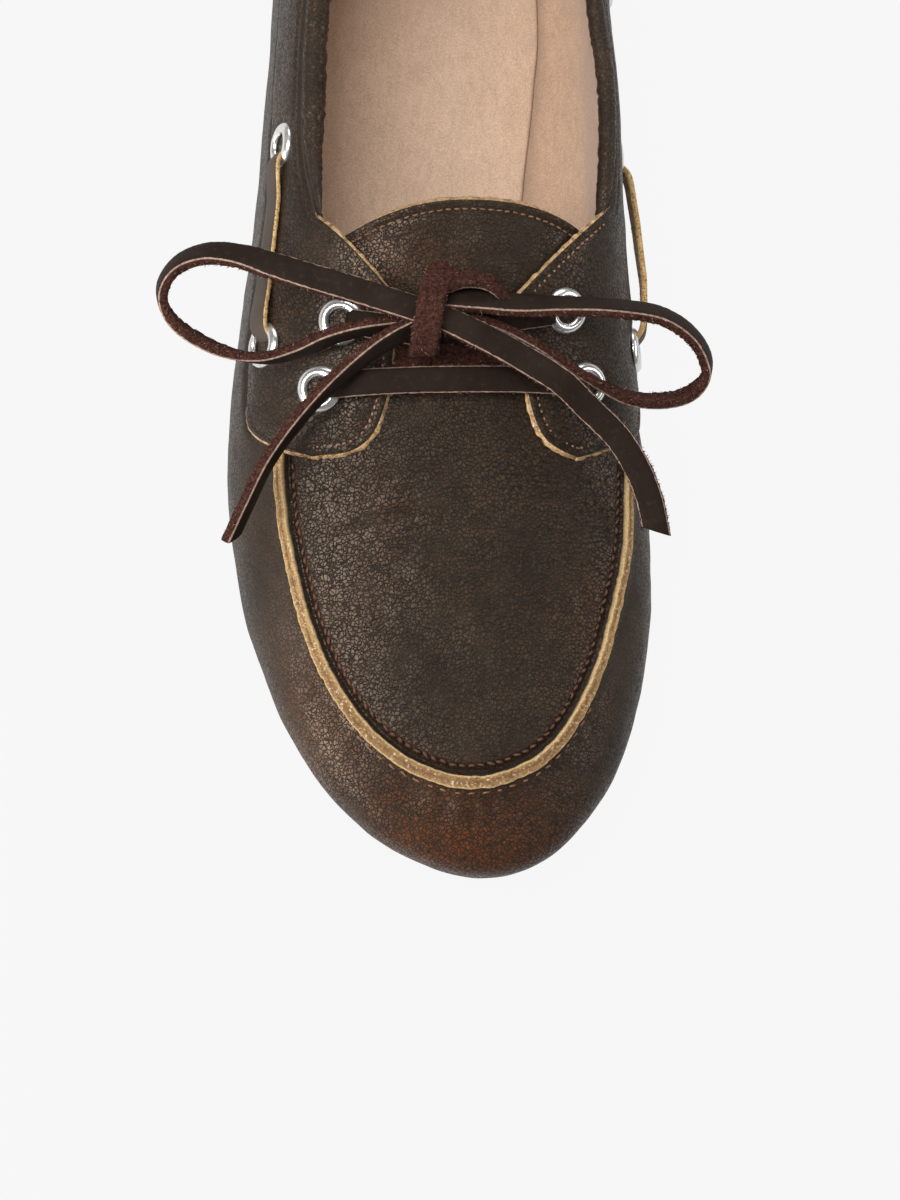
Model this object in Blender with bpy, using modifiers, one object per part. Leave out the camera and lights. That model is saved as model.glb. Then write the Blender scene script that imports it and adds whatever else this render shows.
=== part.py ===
"""Lace-up moccasin flat (a loafer), right shoe, modelled for Blender 4.5.

The shoe stands on the floor with its toe towards -Y and the big-toe side at +X.
Every leather piece is cut from one surface: ribs that run from the sole edge, up the
wall and over to the middle of the shoe. A rib is named by a turn, measured round the
outline: 0 is the back of the heel, 1 to 2 are the straight sides and 3 is the toe tip,
negative on the lateral (outer) side and positive on the medial side.
"""

import math

import bmesh
import bpy
import numpy as np

# ---- driving sizes, in millimetres ----
LENGTH = 255.0  # heel to toe, outside
PLACE = (-2.5, -1.05)  # moves the model so that its box stands over the origin
TOE_FAN = 64.0  # from the toe: where the straight ribs end and the toe fan begins
HEEL_FAN = 223.0  # from the toe: the same for the heel
GAP = 0.3  # clearance between neighbouring pieces
WALL = 1.5  # leather of the upper
OVERLAY = 1.2  # leather of the collar band
BAND_LIFT = 0.8  # from the surface to the band, so that flat facets stay clear
TONGUE = 1.7
SOLE = 4.7
INSOLE = 2.2
LACE_WIDTH = 5.6
LACE_THICK = 1.7
EYELET_RADIUS = 5.0
EYELET_HOLE = 2.8
EYELET_HIGH = 0.9

# Outline of the shoe seen from above, at its widest: distances from the toe tip,
# and to each side of the centre line.
OUTLINE = {
    "from_toe": [1.4, 7, 17, 30, 45, 62, 88, 115, 145, 185, 215, 235, 249],
    "lateral": [2.8, -9.3, -20.1, -28.8, -35.2, -40, -43.3, -42.0, -38.8, -36.4, -34.4, -29, -16],
    "medial": [18.8, 28.4, 36.9, 43.3, 47.2, 48.9, 47.9, 43.3, 38.2, 36.4, 34.3, 28.8, 17],
}
TOE_TIP = 10.0
HEEL_TIP = 0.8
# The line that the ribs rise to.
SPINE = {"from_toe": [0, 64, 100, 128, 160, 223, 255], "across": [9, 2.2, -1, -2.4, -2, 0, 0]}
# How square the section's shoulder is.
SHOULDER = {"from_toe": [0, 64, 115, 145, 160, 190, 255], "lateral": [3.4, 2.5, 2.5, 2.23, 2.2, 2.2, 2.2],
            "medial": [3.4, 2.5, 2.4, 2.95, 2.7, 2.05, 2.3]}
# Height of the middle of the shoe; behind the tongue it only shapes the walls' lean.
RIDGE = {
    "from_toe": [0, 20, 42, 64, 88, 105, 120, 133, 145, 160, 200, 255],
    "high": [31, 33.5, 36.5, 40.5, 47, 53, 59.5, 66.5, 74, 81, 85, 85],
}
# The wall below its widest: height of its foot, height of the widest place, and how far
# the foot is set in, on each side.
LOWER = {
    "from_toe": [0, 20, 42, 58, 96, 115, 145, 185, 197, 255],
    "foot": [11.5, 8, 5.8, 5, 5, 5.8, 8.2, 11.4, 12, 12],
    "wide_lateral": [20.5, 17.5, 15.5, 14.5, 14.5, 15, 16.5, 19, 20, 24],
    "wide_medial": [20.5, 17.5, 16, 16, 17, 20, 25, 26, 26, 26],
    "inset_lateral": [7, 7, 7, 7, 7.5, 8, 8, 6.5, 6, 5.5],
    "inset_medial": [7, 7, 7.5, 8, 9, 11, 13, 9, 7.5, 5.5],
}
# Opening: in front, its edge's distance from the spine; behind, the collar's height.
THROAT = {"from_toe": [101, 103, 106, 111, 115], "out": [0, 6, 10, 12.6, 13.5]}
COLLAR = {
    "from_toe": [126, 135, 150, 170, 190, 215, 240, 255],
    "lateral": [55.5, 54.5, 53, 53, 54.5, 58, 62, 63],
    "medial": [56.5, 56.5, 56, 56.5, 57.5, 60, 62.5, 63],
}
# The collar band's inner edge beside the tongue, and its lower edge's height.
STAY_FRONT = {"lateral": 84.0, "medial": 86.5}
STAY_EDGE = {
    "from_toe": [84, 85, 87.4, 91, 95, 103, 108, 114.5],
    "lateral": [24, 20.2, 16.9, 14.8, 13.4, 12.1, 11.6, 11.4],
    "medial": [29.5, 29, 23.8, 19.2, 17.5, 15.8, 14.4, 13.1],
}
# The straight edges that rise from the tongue to the collar's front corners:
# distance from the toe and from the spine, at the foot and at the corner.
CORNER = {"lateral": ((115.2, 11.6), (132.6, 27.0)), "medial": ((115.8, 13.2), (138.0, 34.2))}
BAND_FOOT = {
    "from_toe": [84, 87, 90, 94, 99, 106, 116, 126, 150, 200, 255],
    "lateral": [41.5, 37, 33.5, 31, 30.3, 30.5, 31.5, 32.5, 33.5, 33.5, 33.5],
    "medial": [44, 43, 40.5, 36, 32, 30.5, 30.3, 30.8, 31.5, 31.5, 32],
}
# The raised seam round the toe: how far in from the outline, by turn.
SEAM = {"turn": [1.87, 1.95, 2.0, 2.2, 2.35, 2.5, 2.6, 2.7, 2.8, 2.9, 3.0],
        "lateral": [8.3, 8.25, 8.6, 8.5, 8.8, 9.8, 10.8, 12.1, 13.9, 15.5, 17.5],
        "medial": [8.0, 8.7, 9.6, 11.4, 12.7, 14.2, 15.2, 16.1, 17.1, 17.9, 17.5]}
SEAM_WIDE = {"turn": [1.87, 2.25, 3.0], "wide": [2.2, 2.6, 3.4]}
SEAM_HIGH = 1.3
# Eyelets: distance from the toe, with the distance from the spine for the front four and
# the height for those along the sides.
EYELETS = {
    "name": ["front_lower", "front_upper", "side_1", "side_2", "side_3", "side_4"],
    "lateral": [97.6, 110.7, 109.3, 152.8, 197, 232],
    "medial": [101.7, 115.7, 115.5, 158, 198, 232],
}
FRONT_OUT = {"lateral": [26.5, 22.2], "medial": [29.8, 25.0]}
SIDE_HIGH = {"lateral": [38.2, 45, 45, 45.5], "medial": [33.5, 38.5, 42, 44.5]}
# How far a side lace bows off the wall between its two eyelets.
SIDE_BOW = {"lateral": 0.4, "medial": 1.8}

COLOURS = {  # base colour, roughness, metallic
    "leather": ((0.035, 0.026, 0.021), 0.45, 0.0),
    "edge": ((0.42, 0.26, 0.11), 0.7, 0.0),
    "suede": ((0.5, 0.36, 0.25), 0.9, 0.0),
    "rubber": ((0.05, 0.035, 0.028), 0.8, 0.0),
    "nickel": ((0.75, 0.75, 0.74), 0.18, 1.0),
    "lace": ((0.05, 0.03, 0.025), 0.5, 0.0),
}


# ---- the section surface ----
def read(table, name, at):
    """A smooth value from a table that never overshoots its rows."""
    key = "turn" if "turn" in table else "from_toe"
    xs = np.array(table[key], float)
    ys = np.array(table[name], float)
    step = np.diff(xs)
    rise = np.diff(ys) / step
    slope = np.zeros(len(xs))
    slope[0], slope[-1] = rise[0], rise[-1]
    for i in range(1, len(xs) - 1):
        if rise[i - 1] * rise[i] > 0:
            slope[i] = 2 * rise[i - 1] * rise[i] / (rise[i - 1] + rise[i])
    at = np.clip(at, xs[0], xs[-1])
    i = np.clip(np.searchsorted(xs, at) - 1, 0, len(step) - 1)
    s = (at - xs[i]) / step[i]
    start = (2 * s**3 - 3 * s**2 + 1) * ys[i] + (s**3 - 2 * s**2 + s) * step[i] * slope[i]
    return start + (3 * s**2 - 2 * s**3) * ys[i + 1] + (s**3 - s**2) * step[i] * slope[i + 1]


def closed_curve(points, cuts=16):
    """A centripetal curve through a closed loop of points."""
    points = np.array(points, float)
    count = len(points)
    out = []
    for i in range(count):
        p = [points[(i + j) % count] for j in (-1, 0, 1, 2)]
        t = [0.0]
        for a, b in zip(p, p[1:]):
            t.append(t[-1] + math.sqrt(np.linalg.norm(b - a)))
        for x in np.linspace(t[1], t[2], cuts, endpoint=False):
            q = [((t[j + 1] - x) * p[j] + (x - t[j]) * p[j + 1]) / (t[j + 1] - t[j]) for j in range(3)]
            q = [((t[j + 2] - x) * q[j] + (x - t[j]) * q[j + 1]) / (t[j + 2] - t[j]) for j in range(2)]
            out.append(((t[2] - x) * q[0] + (x - t[1]) * q[1]) / (t[2] - t[1]))
    return np.array(out)


def make_outline():
    rows = list(zip(OUTLINE["from_toe"], OUTLINE["lateral"], OUTLINE["medial"]))
    points = [(TOE_TIP, 0)] + [(medial, at) for at, _, medial in rows] + [(HEEL_TIP, LENGTH)]
    points += [(lateral, at) for at, lateral, _ in reversed(rows)]
    return closed_curve([(x, at - LENGTH / 2) for x, at in points])


EDGE = make_outline()


def reach(start, way):
    """How far the outline is from a point inside it, along a direction."""
    a = EDGE - start
    b = np.roll(EDGE, -1, axis=0) - start
    across = np.array([-way[1], way[0]])
    side_a, side_b = a @ across, b @ across
    far = 0.0
    for i in np.nonzero(side_a * side_b <= 0)[0]:
        if side_a[i] != side_b[i]:
            cross = a[i] + (b[i] - a[i]) * side_a[i] / (side_a[i] - side_b[i])
            far = max(far, float(cross @ way))
    return far


RIBS = {}


def rib(turn):
    """The rib at a turn: its points, arc lengths, and distances from the spine."""
    turn = round(turn, 5)
    if turn in RIBS:
        return RIBS[turn]
    side = -1.0 if turn < 0 else 1.0
    k = abs(turn)
    at = TOE_FAN if k >= 2 else HEEL_FAN if k <= 1 else HEEL_FAN + (TOE_FAN - HEEL_FAN) * (k - 1)
    start = np.array([float(read(SPINE, "across", at)), at - LENGTH / 2])
    if k <= 1:
        way = np.array([side * math.sin(k * math.pi / 2), math.cos(k * math.pi / 2)])
    elif k <= 2:
        way = np.array([side, 0.0])
    else:
        to_tip = math.atan2(TOE_TIP - start[0], start[1] + LENGTH / 2)
        bend = side * (3 - k) * math.pi / 2 + to_tip * (k - 2)
        way = np.array([math.sin(bend), -math.cos(bend)])
    wide = reach(start, way)
    at = start[1] + way[1] * wide + LENGTH / 2
    medial = 0.5 * (1 + side * abs(way[0]))
    high = read(LOWER, "wide_lateral", at) * (1 - medial) + read(LOWER, "wide_medial", at) * medial
    inset = read(LOWER, "inset_lateral", at) * (1 - medial) + read(LOWER, "inset_medial", at) * medial
    foot = float(read(LOWER, "foot", start[1] + way[1] * (wide - inset) + LENGTH / 2))
    bend = np.linspace(0, math.pi / 2, 14, endpoint=False)
    out_low = wide - inset * (1 - np.sin(bend) ** 0.9)
    z_low = high - (high - foot) * np.cos(bend) ** 0.9
    at_shoulder = at if k <= 2 else TOE_FAN * (3 - k)
    shoulder = read(SHOULDER, "lateral", at_shoulder) * (1 - medial)
    shoulder += read(SHOULDER, "medial", at_shoulder) * medial
    out = np.cos(np.linspace(0, math.pi / 2, 80)) ** (2 / shoulder)
    out[-1] = 0
    top = read(RIDGE, "high", start[1] + way[1] * out * wide + LENGTH / 2)
    z_top = high + (top - high) * (1 - out**shoulder) ** (1 / min(shoulder, 2.5))
    out = np.concatenate([out_low, out * wide])
    z = np.concatenate([z_low, z_top])
    points = np.stack([start[0] + way[0] * out, start[1] + way[1] * out, z], axis=1)
    arc = np.concatenate([[0], np.cumsum(np.linalg.norm(np.diff(points, axis=0), axis=1))])
    RIBS[turn] = {"points": points, "arc": arc, "out": out, "wide": wide, "start": start,
                  "way": way, "foot": foot, "inset": inset, "bulge": len(out_low)}
    return RIBS[turn]


def arc_at_height(turn, high):
    r = rib(turn)
    return float(np.interp(high, r["points"][:, 2], r["arc"]))


def arc_at_out(turn, out):
    r = rib(turn)
    first = r["bulge"]
    return float(np.interp(-out, -r["out"][first:], r["arc"][first:]))


def on_rib(turn, arc):
    r = rib(turn)
    return np.array([np.interp(arc, r["arc"], r["points"][:, i]) for i in range(3)])


def turn_of(from_toe, side=1):
    """The turn of a straight rib, from its distance from the toe."""
    return side * (1 + (HEEL_FAN - from_toe) / (HEEL_FAN - TOE_FAN))


def station(turn):
    """The distance from the toe at which a rib meets the outline."""
    r = rib(turn)
    return r["start"][1] + r["way"][1] * r["wide"] + LENGTH / 2


def side_name(turn):
    return "lateral" if turn < 0 else "medial"


def ease(x, low, high):
    s = min(1.0, max(0.0, (x - low) / (high - low)))
    return s * s * (3 - 2 * s)


def opening_arc(turn):
    """Arc length at which the upper ends: the throat in front, the collar behind."""
    at = station(turn)
    r = rib(turn)
    if abs(turn) >= turn_of(THROAT["from_toe"][0]):
        return r["arc"][-1]
    collar = arc_at_height(turn, float(read(COLLAR, side_name(turn), at)))
    if at >= 140:
        return collar
    throat = arc_at_out(turn, max(float(read(THROAT, "out", at)), corner_line(turn, at) + 0.8))
    return max(collar, throat) if at > 121 else throat


def corner_line(turn, at):
    """How far out the straight edge of the stay lies, behind the throat."""
    (low_at, low_out), (high_at, high_out) = CORNER[side_name(turn)]
    if at < low_at:
        return 0.0
    return low_out + (high_out - low_out) * (at - low_at) / (high_at - low_at)


def surface(turn, arc):
    """A point of the surface and its outward normal."""
    step = 0.004
    here = on_rib(turn, arc)
    up = on_rib(turn, arc + 0.6) - on_rib(turn, arc - 0.6)
    share = arc / rib(turn)["arc"][-1]
    ahead = on_rib(turn + step, share * rib(turn + step)["arc"][-1])
    behind = on_rib(turn - step, share * rib(turn - step)["arc"][-1])
    normal = np.cross(up, ahead - behind)
    normal /= np.linalg.norm(normal)
    outward = here[:2] - rib(turn)["start"]
    if normal[:2] @ outward + normal[2] * 10 < 0:
        normal = -normal
    return here, normal


# ---- meshes ----
def add_mesh(name, verts, faces, finish):
    mesh = bpy.data.meshes.new(name)
    mesh.from_pydata([((x + PLACE[0]) / 1000, (y + PLACE[1]) / 1000, z / 1000) for x, y, z in verts],
                     [], faces)
    obj = bpy.data.objects.new(name, mesh)
    SHOE.objects.link(obj)
    mesh.materials.append(make_material(name, *COLOURS[finish]))
    mesh.validate()
    tidy(obj)
    return obj


def tidy(obj):
    """Joins doubled points and makes the faces point outwards."""
    bm = bmesh_of(obj)
    bmesh.ops.remove_doubles(bm, verts=bm.verts, dist=0.00001)
    bmesh.ops.dissolve_degenerate(bm, edges=bm.edges, dist=0.00001)
    bmesh.ops.recalc_face_normals(bm, faces=bm.faces)
    bm.to_mesh(obj.data)
    bm.free()
    obj.data.shade_smooth()
    obj.data.set_sharp_from_angle(angle=math.radians(40))


def bmesh_of(obj):
    bm = bmesh.new()
    bm.from_mesh(obj.data)
    return bm


def block(rows, closed=False):
    """Verts and faces of a solid: each row is one closed ring of points."""
    rows = [list(row) for row in rows]
    ring = len(rows[0])
    verts = [p for row in rows for p in row]
    faces = []
    count = len(rows)
    for i in range(count if closed else count - 1):
        a, b = i * ring, (i + 1) % count * ring
        faces += [(a + j, a + (j + 1) % ring, b + (j + 1) % ring, b + j) for j in range(ring)]
    if not closed:
        faces += [tuple(reversed(range(ring))), tuple(range((count - 1) * ring, count * ring))]
    return verts, faces


def patch(name, turns, low, high, cuts, inner, outer, finish, closed=False):
    """A leather piece lifted off the surface between two arc lengths of each rib."""
    rows = []
    for turn in turns:
        arcs = np.linspace(low(turn), high(turn), cuts + 1)
        spots = [surface(turn, arc) for arc in arcs]
        row = [p + n * inner for p, n in spots]
        row += [p + n * outer for p, n in reversed(spots)]
        rows.append(row)
    return add_mesh(name, *block(rows, closed), finish)


def turns_round_heel(front, sides=14, back=6):
    """Turns from the lateral front, round the heel, to the medial front."""
    half = list(np.linspace(front, 1, sides + 1)) + list(np.linspace(1, 0, back + 1))[1:]
    return [-k for k in half] + [k for k in reversed(half[:-1])]


def rear_ribs(side):
    """The ribs of one side from the back of the heel to the collar's front corner."""
    corner = CORNER[side][1][0] + 1.2
    return list(np.linspace(0, 1, 7)) + list(np.linspace(1, turn_of(corner), 8))[1:]


def signed_toe(turn):
    """Turns that run on past 3 come back on the medial side."""
    return -turn if turn <= 3 else 6 - turn


# ---- the pieces ----
def make_upper():
    """The hollow upper: walls, toe, and the top up to the throat and collar."""
    throat = turn_of(THROAT["from_toe"][0])
    front = [turn_of(at) for at in (121, 115, 108, 104.5)] + [throat]
    front += list(np.linspace(throat, 2, 5))[1:] + list(np.linspace(2, 3, 11))[1:]
    lateral = rear_ribs("lateral") + [turn_of(at) for at in (132, 127)] + front
    medial = rear_ribs("medial") + [turn_of(at) for at in (137.4, 129)] + front
    turns = [-k for k in lateral] + [k for k in reversed(medial[1:-1])]
    share = [0, 0.05, 0.11, 0.19, 0.28, 0.37, 0.46, 0.55, 0.64, 0.74, 0.86, 1]
    verts = []
    for turn in turns:
        top = opening_arc(turn)
        verts += [on_rib(turn, top * s) for s in share]
    n, m = len(turns), len(share)
    faces = []
    for i in range(n):
        a, b = i * m, (i + 1) % n * m
        faces += [(a + j, a + j + 1, b + j + 1, b + j) for j in range(m - 1)]
    obj = add_mesh("upper", verts, faces, "leather")
    bm = bmesh_of(obj)
    flip = sum(f.normal.z * f.calc_area() for f in bm.faces if f.calc_center_median().z > 0.03)
    if flip < 0:
        bmesh.ops.reverse_faces(bm, faces=bm.faces)
    bm.to_mesh(obj.data)
    bm.free()
    shell = obj.modifiers.new("wall", "SOLIDIFY")
    shell.thickness = WALL / 1000
    shell.offset = -1
    shell.use_even_offset = False
    shell.use_rim = True
    apply_modifiers(obj)
    return obj


def apply_modifiers(obj):
    graph = bpy.context.evaluated_depsgraph_get()
    mesh = bpy.data.meshes.new_from_object(obj.evaluated_get(graph))
    obj.modifiers.clear()
    obj.data = mesh
    tidy(obj)


def plate_rows(inset, top, bottom, ribs):
    """A level plate inside the foot line: rings from its edge to the spine."""
    turns = [-k for k in ribs] + [k for k in reversed(ribs[1:-1])]
    verts, faces = [], []
    shares = [1.0, 0.55, 0.0]
    for face_z in (top, bottom):
        for turn in turns:
            r = rib(turn)
            for share in shares:
                out = (r["wide"] - r["inset"] - inset) * share
                x, y = r["start"] + r["way"] * out
                verts.append((x, y, face_z(y + LENGTH / 2)))
    n, m = len(turns), len(shares)
    for side in range(2):
        base = side * n * m
        for i in range(n):
            a, b = base + i * m, base + (i + 1) % n * m
            faces += [(a + j, a + j + 1, b + j + 1, b + j) for j in range(m - 1)]
    for i in range(n):
        a, b = i * m, (i + 1) % n * m
        faces.append((a, b, b + n * m, a + n * m))
    return verts, faces


def foot_height(at):
    return float(read(LOWER, "foot", at))


def make_sole():
    ribs = list(np.linspace(0, 1, 7)) + list(np.linspace(1, 2, 14))[1:] + list(np.linspace(2, 3, 10))[1:]
    top = lambda at: foot_height(at) - GAP
    bottom = lambda at: max(0.0, foot_height(at) - GAP - SOLE)
    sole = add_mesh("outsole", *plate_rows(-1.5, top, bottom, ribs), "rubber")
    under = foot_height(LENGTH) - 2 * GAP - SOLE
    ribs = list(np.linspace(0, 1, 8)) + list(np.linspace(1, turn_of(197), 4))[1:]
    edge = [-k for k in reversed(ribs)] + ribs[1:]
    ring = [rib(k)["start"] + rib(k)["way"] * (rib(k)["wide"] - rib(k)["inset"] + 0.9) for k in edge]
    rows = [[(x, y, z) for x, y in ring] for z in (under, 0.0)]
    lift = add_mesh("heel_lift", *block(rows), "rubber")
    inset = WALL + 2.4
    floor = lambda at: foot_height(at) + 0.4
    cover = lambda at: foot_height(at) + 0.4 + INSOLE
    ribs = list(np.linspace(0, 1, 6)) + list(np.linspace(1, 2, 12))[1:] + list(np.linspace(2, 3, 8))[1:]
    insole = add_mesh("insole", *plate_rows(inset, cover, floor, ribs), "suede")
    return sole, lift, insole


def make_tongue():
    """The tongue runs on from the toe piece, under it and under the collar band."""
    below = WALL + 4 * GAP
    rows = []
    for i in range(9):
        row = []
        for j in range(-5, 6):
            part = i / 8
            wide = (23.0 if j < 0 else 30.5) * (0.6 + 0.4 * min(1.0, part * 1.6))
            out = abs(j) / 5 * wide
            end = 133.9 - 0.003 * abs(j / 5 * wide - 9.2) ** 2.2
            at = 90 + (end - 90) * part
            turn = turn_of(at, -1 if j < 0 else 1)
            row.append(surface(turn, arc_at_out(turn, max(out, 0.3))))
        rows.append(row)
    verts, faces = [], []
    for depth in (below, below + TONGUE):
        for row in rows:
            verts += [p - n * depth for p, n in row]
    n, m = len(rows), len(rows[0])
    for base in (0, n * m):
        for i in range(n - 1):
            a, b = base + i * m, base + (i + 1) * m
            faces += [(a + j, a + j + 1, b + j + 1, b + j) for j in range(m - 1)]
    rim = [j for j in range(m)] + [i * m + m - 1 for i in range(1, n)]
    rim += [(n - 1) * m + j for j in range(m - 2, -1, -1)] + [i * m for i in range(n - 2, 0, -1)]
    for a, b in zip(rim, rim[1:] + rim[:1]):
        faces.append((a, b, b + n * m, a + n * m))
    return add_mesh("tongue", verts, faces, "leather")


def make_band():
    """The collar band: both eyestays and the strip round the heel."""
    def low(turn):
        return arc_at_height(turn, float(read(BAND_FOOT, side_name(turn), station(turn))))

    def high(turn):
        at = station(turn)
        collar = arc_at_height(turn, float(read(COLLAR, side_name(turn), at))) - 0.8
        if at >= 140:
            return collar
        line = corner_line(turn, at) or float(read(STAY_EDGE, side_name(turn), at))
        stay = arc_at_out(turn, line)
        return max(collar, stay) if at > 121 else stay

    rows = [91, 95, 103, 109, 115.5, 121, 127, 132, 137.5, 142]
    rest = list(np.linspace(turn_of(152), 1, 5)) + list(np.linspace(1, 0, 7))[1:]
    turns = [turn_of(at, -1) for at in [STAY_FRONT["lateral"], 87.5] + rows] + [-k for k in rest]
    turns += [k for k in reversed(rest[:-1])]
    turns += [turn_of(at) for at in reversed([STAY_FRONT["medial"], 88.8] + rows)]
    return patch("collar_band", turns, low, high, 8, BAND_LIFT, BAND_LIFT + OVERLAY, "leather")


def make_seam():
    """The raised moccasin seam: a rounded ridge round the toe."""
    rows = []
    for turn in np.linspace(1.874, 4.13, 46):
        k = signed_toe(turn)
        r = rib(k)
        inset = float(read(SEAM, side_name(k), abs(k)))
        half = float(read(SEAM_WIDE, "wide", abs(k))) / 2
        arc = arc_at_out(k, r["wide"] - inset)
        row = []
        for side, lift in ((-1, 0), (-0.75, 0.75), (0, 1), (0.75, 0.75), (1, 0)):
            p, n = surface(k, arc + side * half)
            row.append(p + n * (GAP + lift * SEAM_HIGH))
        rows.append(row)
    return add_mesh("moc_seam", *block(rows), "edge")


def make_collar_roll():
    """The soft rolled edge of the opening, a rounded bead above the wall's top."""
    turns = [-k for k in reversed(rear_ribs("lateral"))] + rear_ribs("medial")[1:]
    rows = []
    for i, turn in enumerate(turns):
        arc = opening_arc(turn)
        top, normal = surface(turn, arc)
        up = on_rib(turn, arc) - on_rib(turn, arc - 1)
        up /= np.linalg.norm(up)
        thin = 0.75 if i in (0, len(turns) - 1) else 1.0
        centre = top - normal * (WALL / 2 + 0.2) + up * (GAP + 1.75)
        ring = []
        for step in range(8):
            bend = 2 * math.pi * step / 8
            ring.append(centre + thin * (normal * 1.9 * math.cos(bend) + up * 1.7 * math.sin(bend)))
        rows.append(ring)
    return add_mesh("collar_roll", *block(rows), "leather")


def eyelet_seat(side, index):
    """Centre and normal of an eyelet's place on the band."""
    name = "lateral" if side < 0 else "medial"
    turn = turn_of(EYELETS[name][index], side)
    if index < 2:
        arc = arc_at_out(turn, FRONT_OUT[name][index])
    else:
        if EYELETS[name][index] > HEEL_FAN:
            turn = side * 0.9
        arc = arc_at_height(turn, SIDE_HIGH[name][index - 2])
    return surface(turn, arc)


def make_eyelets():
    profile = ((EYELET_HOLE, 0), (EYELET_HOLE, 0.55), (3.5, 0.9), (4.3, 0.8), (EYELET_RADIUS, 0))
    made = []
    for side in (-1, 1):
        for index, name in enumerate(EYELETS["name"]):
            p, n = eyelet_seat(side, index)
            across = np.cross(n, (0, 0, 1.0))
            across /= np.linalg.norm(across)
            up = np.cross(n, across)
            base = p + n * (BAND_LIFT + OVERLAY + 0.45)
            rows = []
            for step in range(14):
                bend = 2 * math.pi * step / 14
                out = across * math.cos(bend) + up * math.sin(bend)
                rows.append([base + out * radius + n * lift for radius, lift in profile])
            label = "eyelet_%s_%s" % (name, "lateral" if side < 0 else "medial")
            made.append(add_mesh(label, *block(rows, closed=True), "nickel"))
    return made


def strap(name, spots, finish, wide=LACE_WIDTH, thick=LACE_THICK):
    """A flat lace: each spot is a point and the direction its face looks."""
    points = np.array([p for p, _ in spots], float)
    along = np.gradient(points, axis=0)
    rows = []
    for p, (_, face), way in zip(points, spots, along):
        way = way / np.linalg.norm(way)
        face = np.array(face, float)
        face -= way * (face @ way)
        face /= np.linalg.norm(face)
        across = np.cross(way, face)
        rows.append([p + across * wide / 2 * a + face * thick / 2 * b
                     for a, b in ((-1, -1), (1, -1), (1, 1), (-1, 1))])
    return add_mesh(name, *block(rows), finish)


def make_side_laces():
    made = []
    lift = lift_over_band()
    for side in (-1, 1):
        name = "lateral" if side < 0 else "medial"
        for label, first in (("front", 2), ("back", 4)):
            turns = []
            for index in (first, first + 1):
                at = EYELETS[name][index]
                turns.append(side * 0.9 if at > HEEL_FAN else turn_of(at, side))
            highs = SIDE_HIGH[name][first - 2], SIDE_HIGH[name][first - 1]
            spots = []
            for part in np.linspace(0.0, 1, 9):
                turn = turns[0] + (turns[1] - turns[0]) * part
                high = highs[0] + (highs[1] - highs[0]) * part
                p, n = surface(turn, arc_at_height(turn, high))
                spots.append((p + n * (lift + SIDE_BOW[name] * math.sin(math.pi * part)), n))
            made.append(strap("side_lace_%s_%s" % (label, name), spots, "lace"))
    return made


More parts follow.
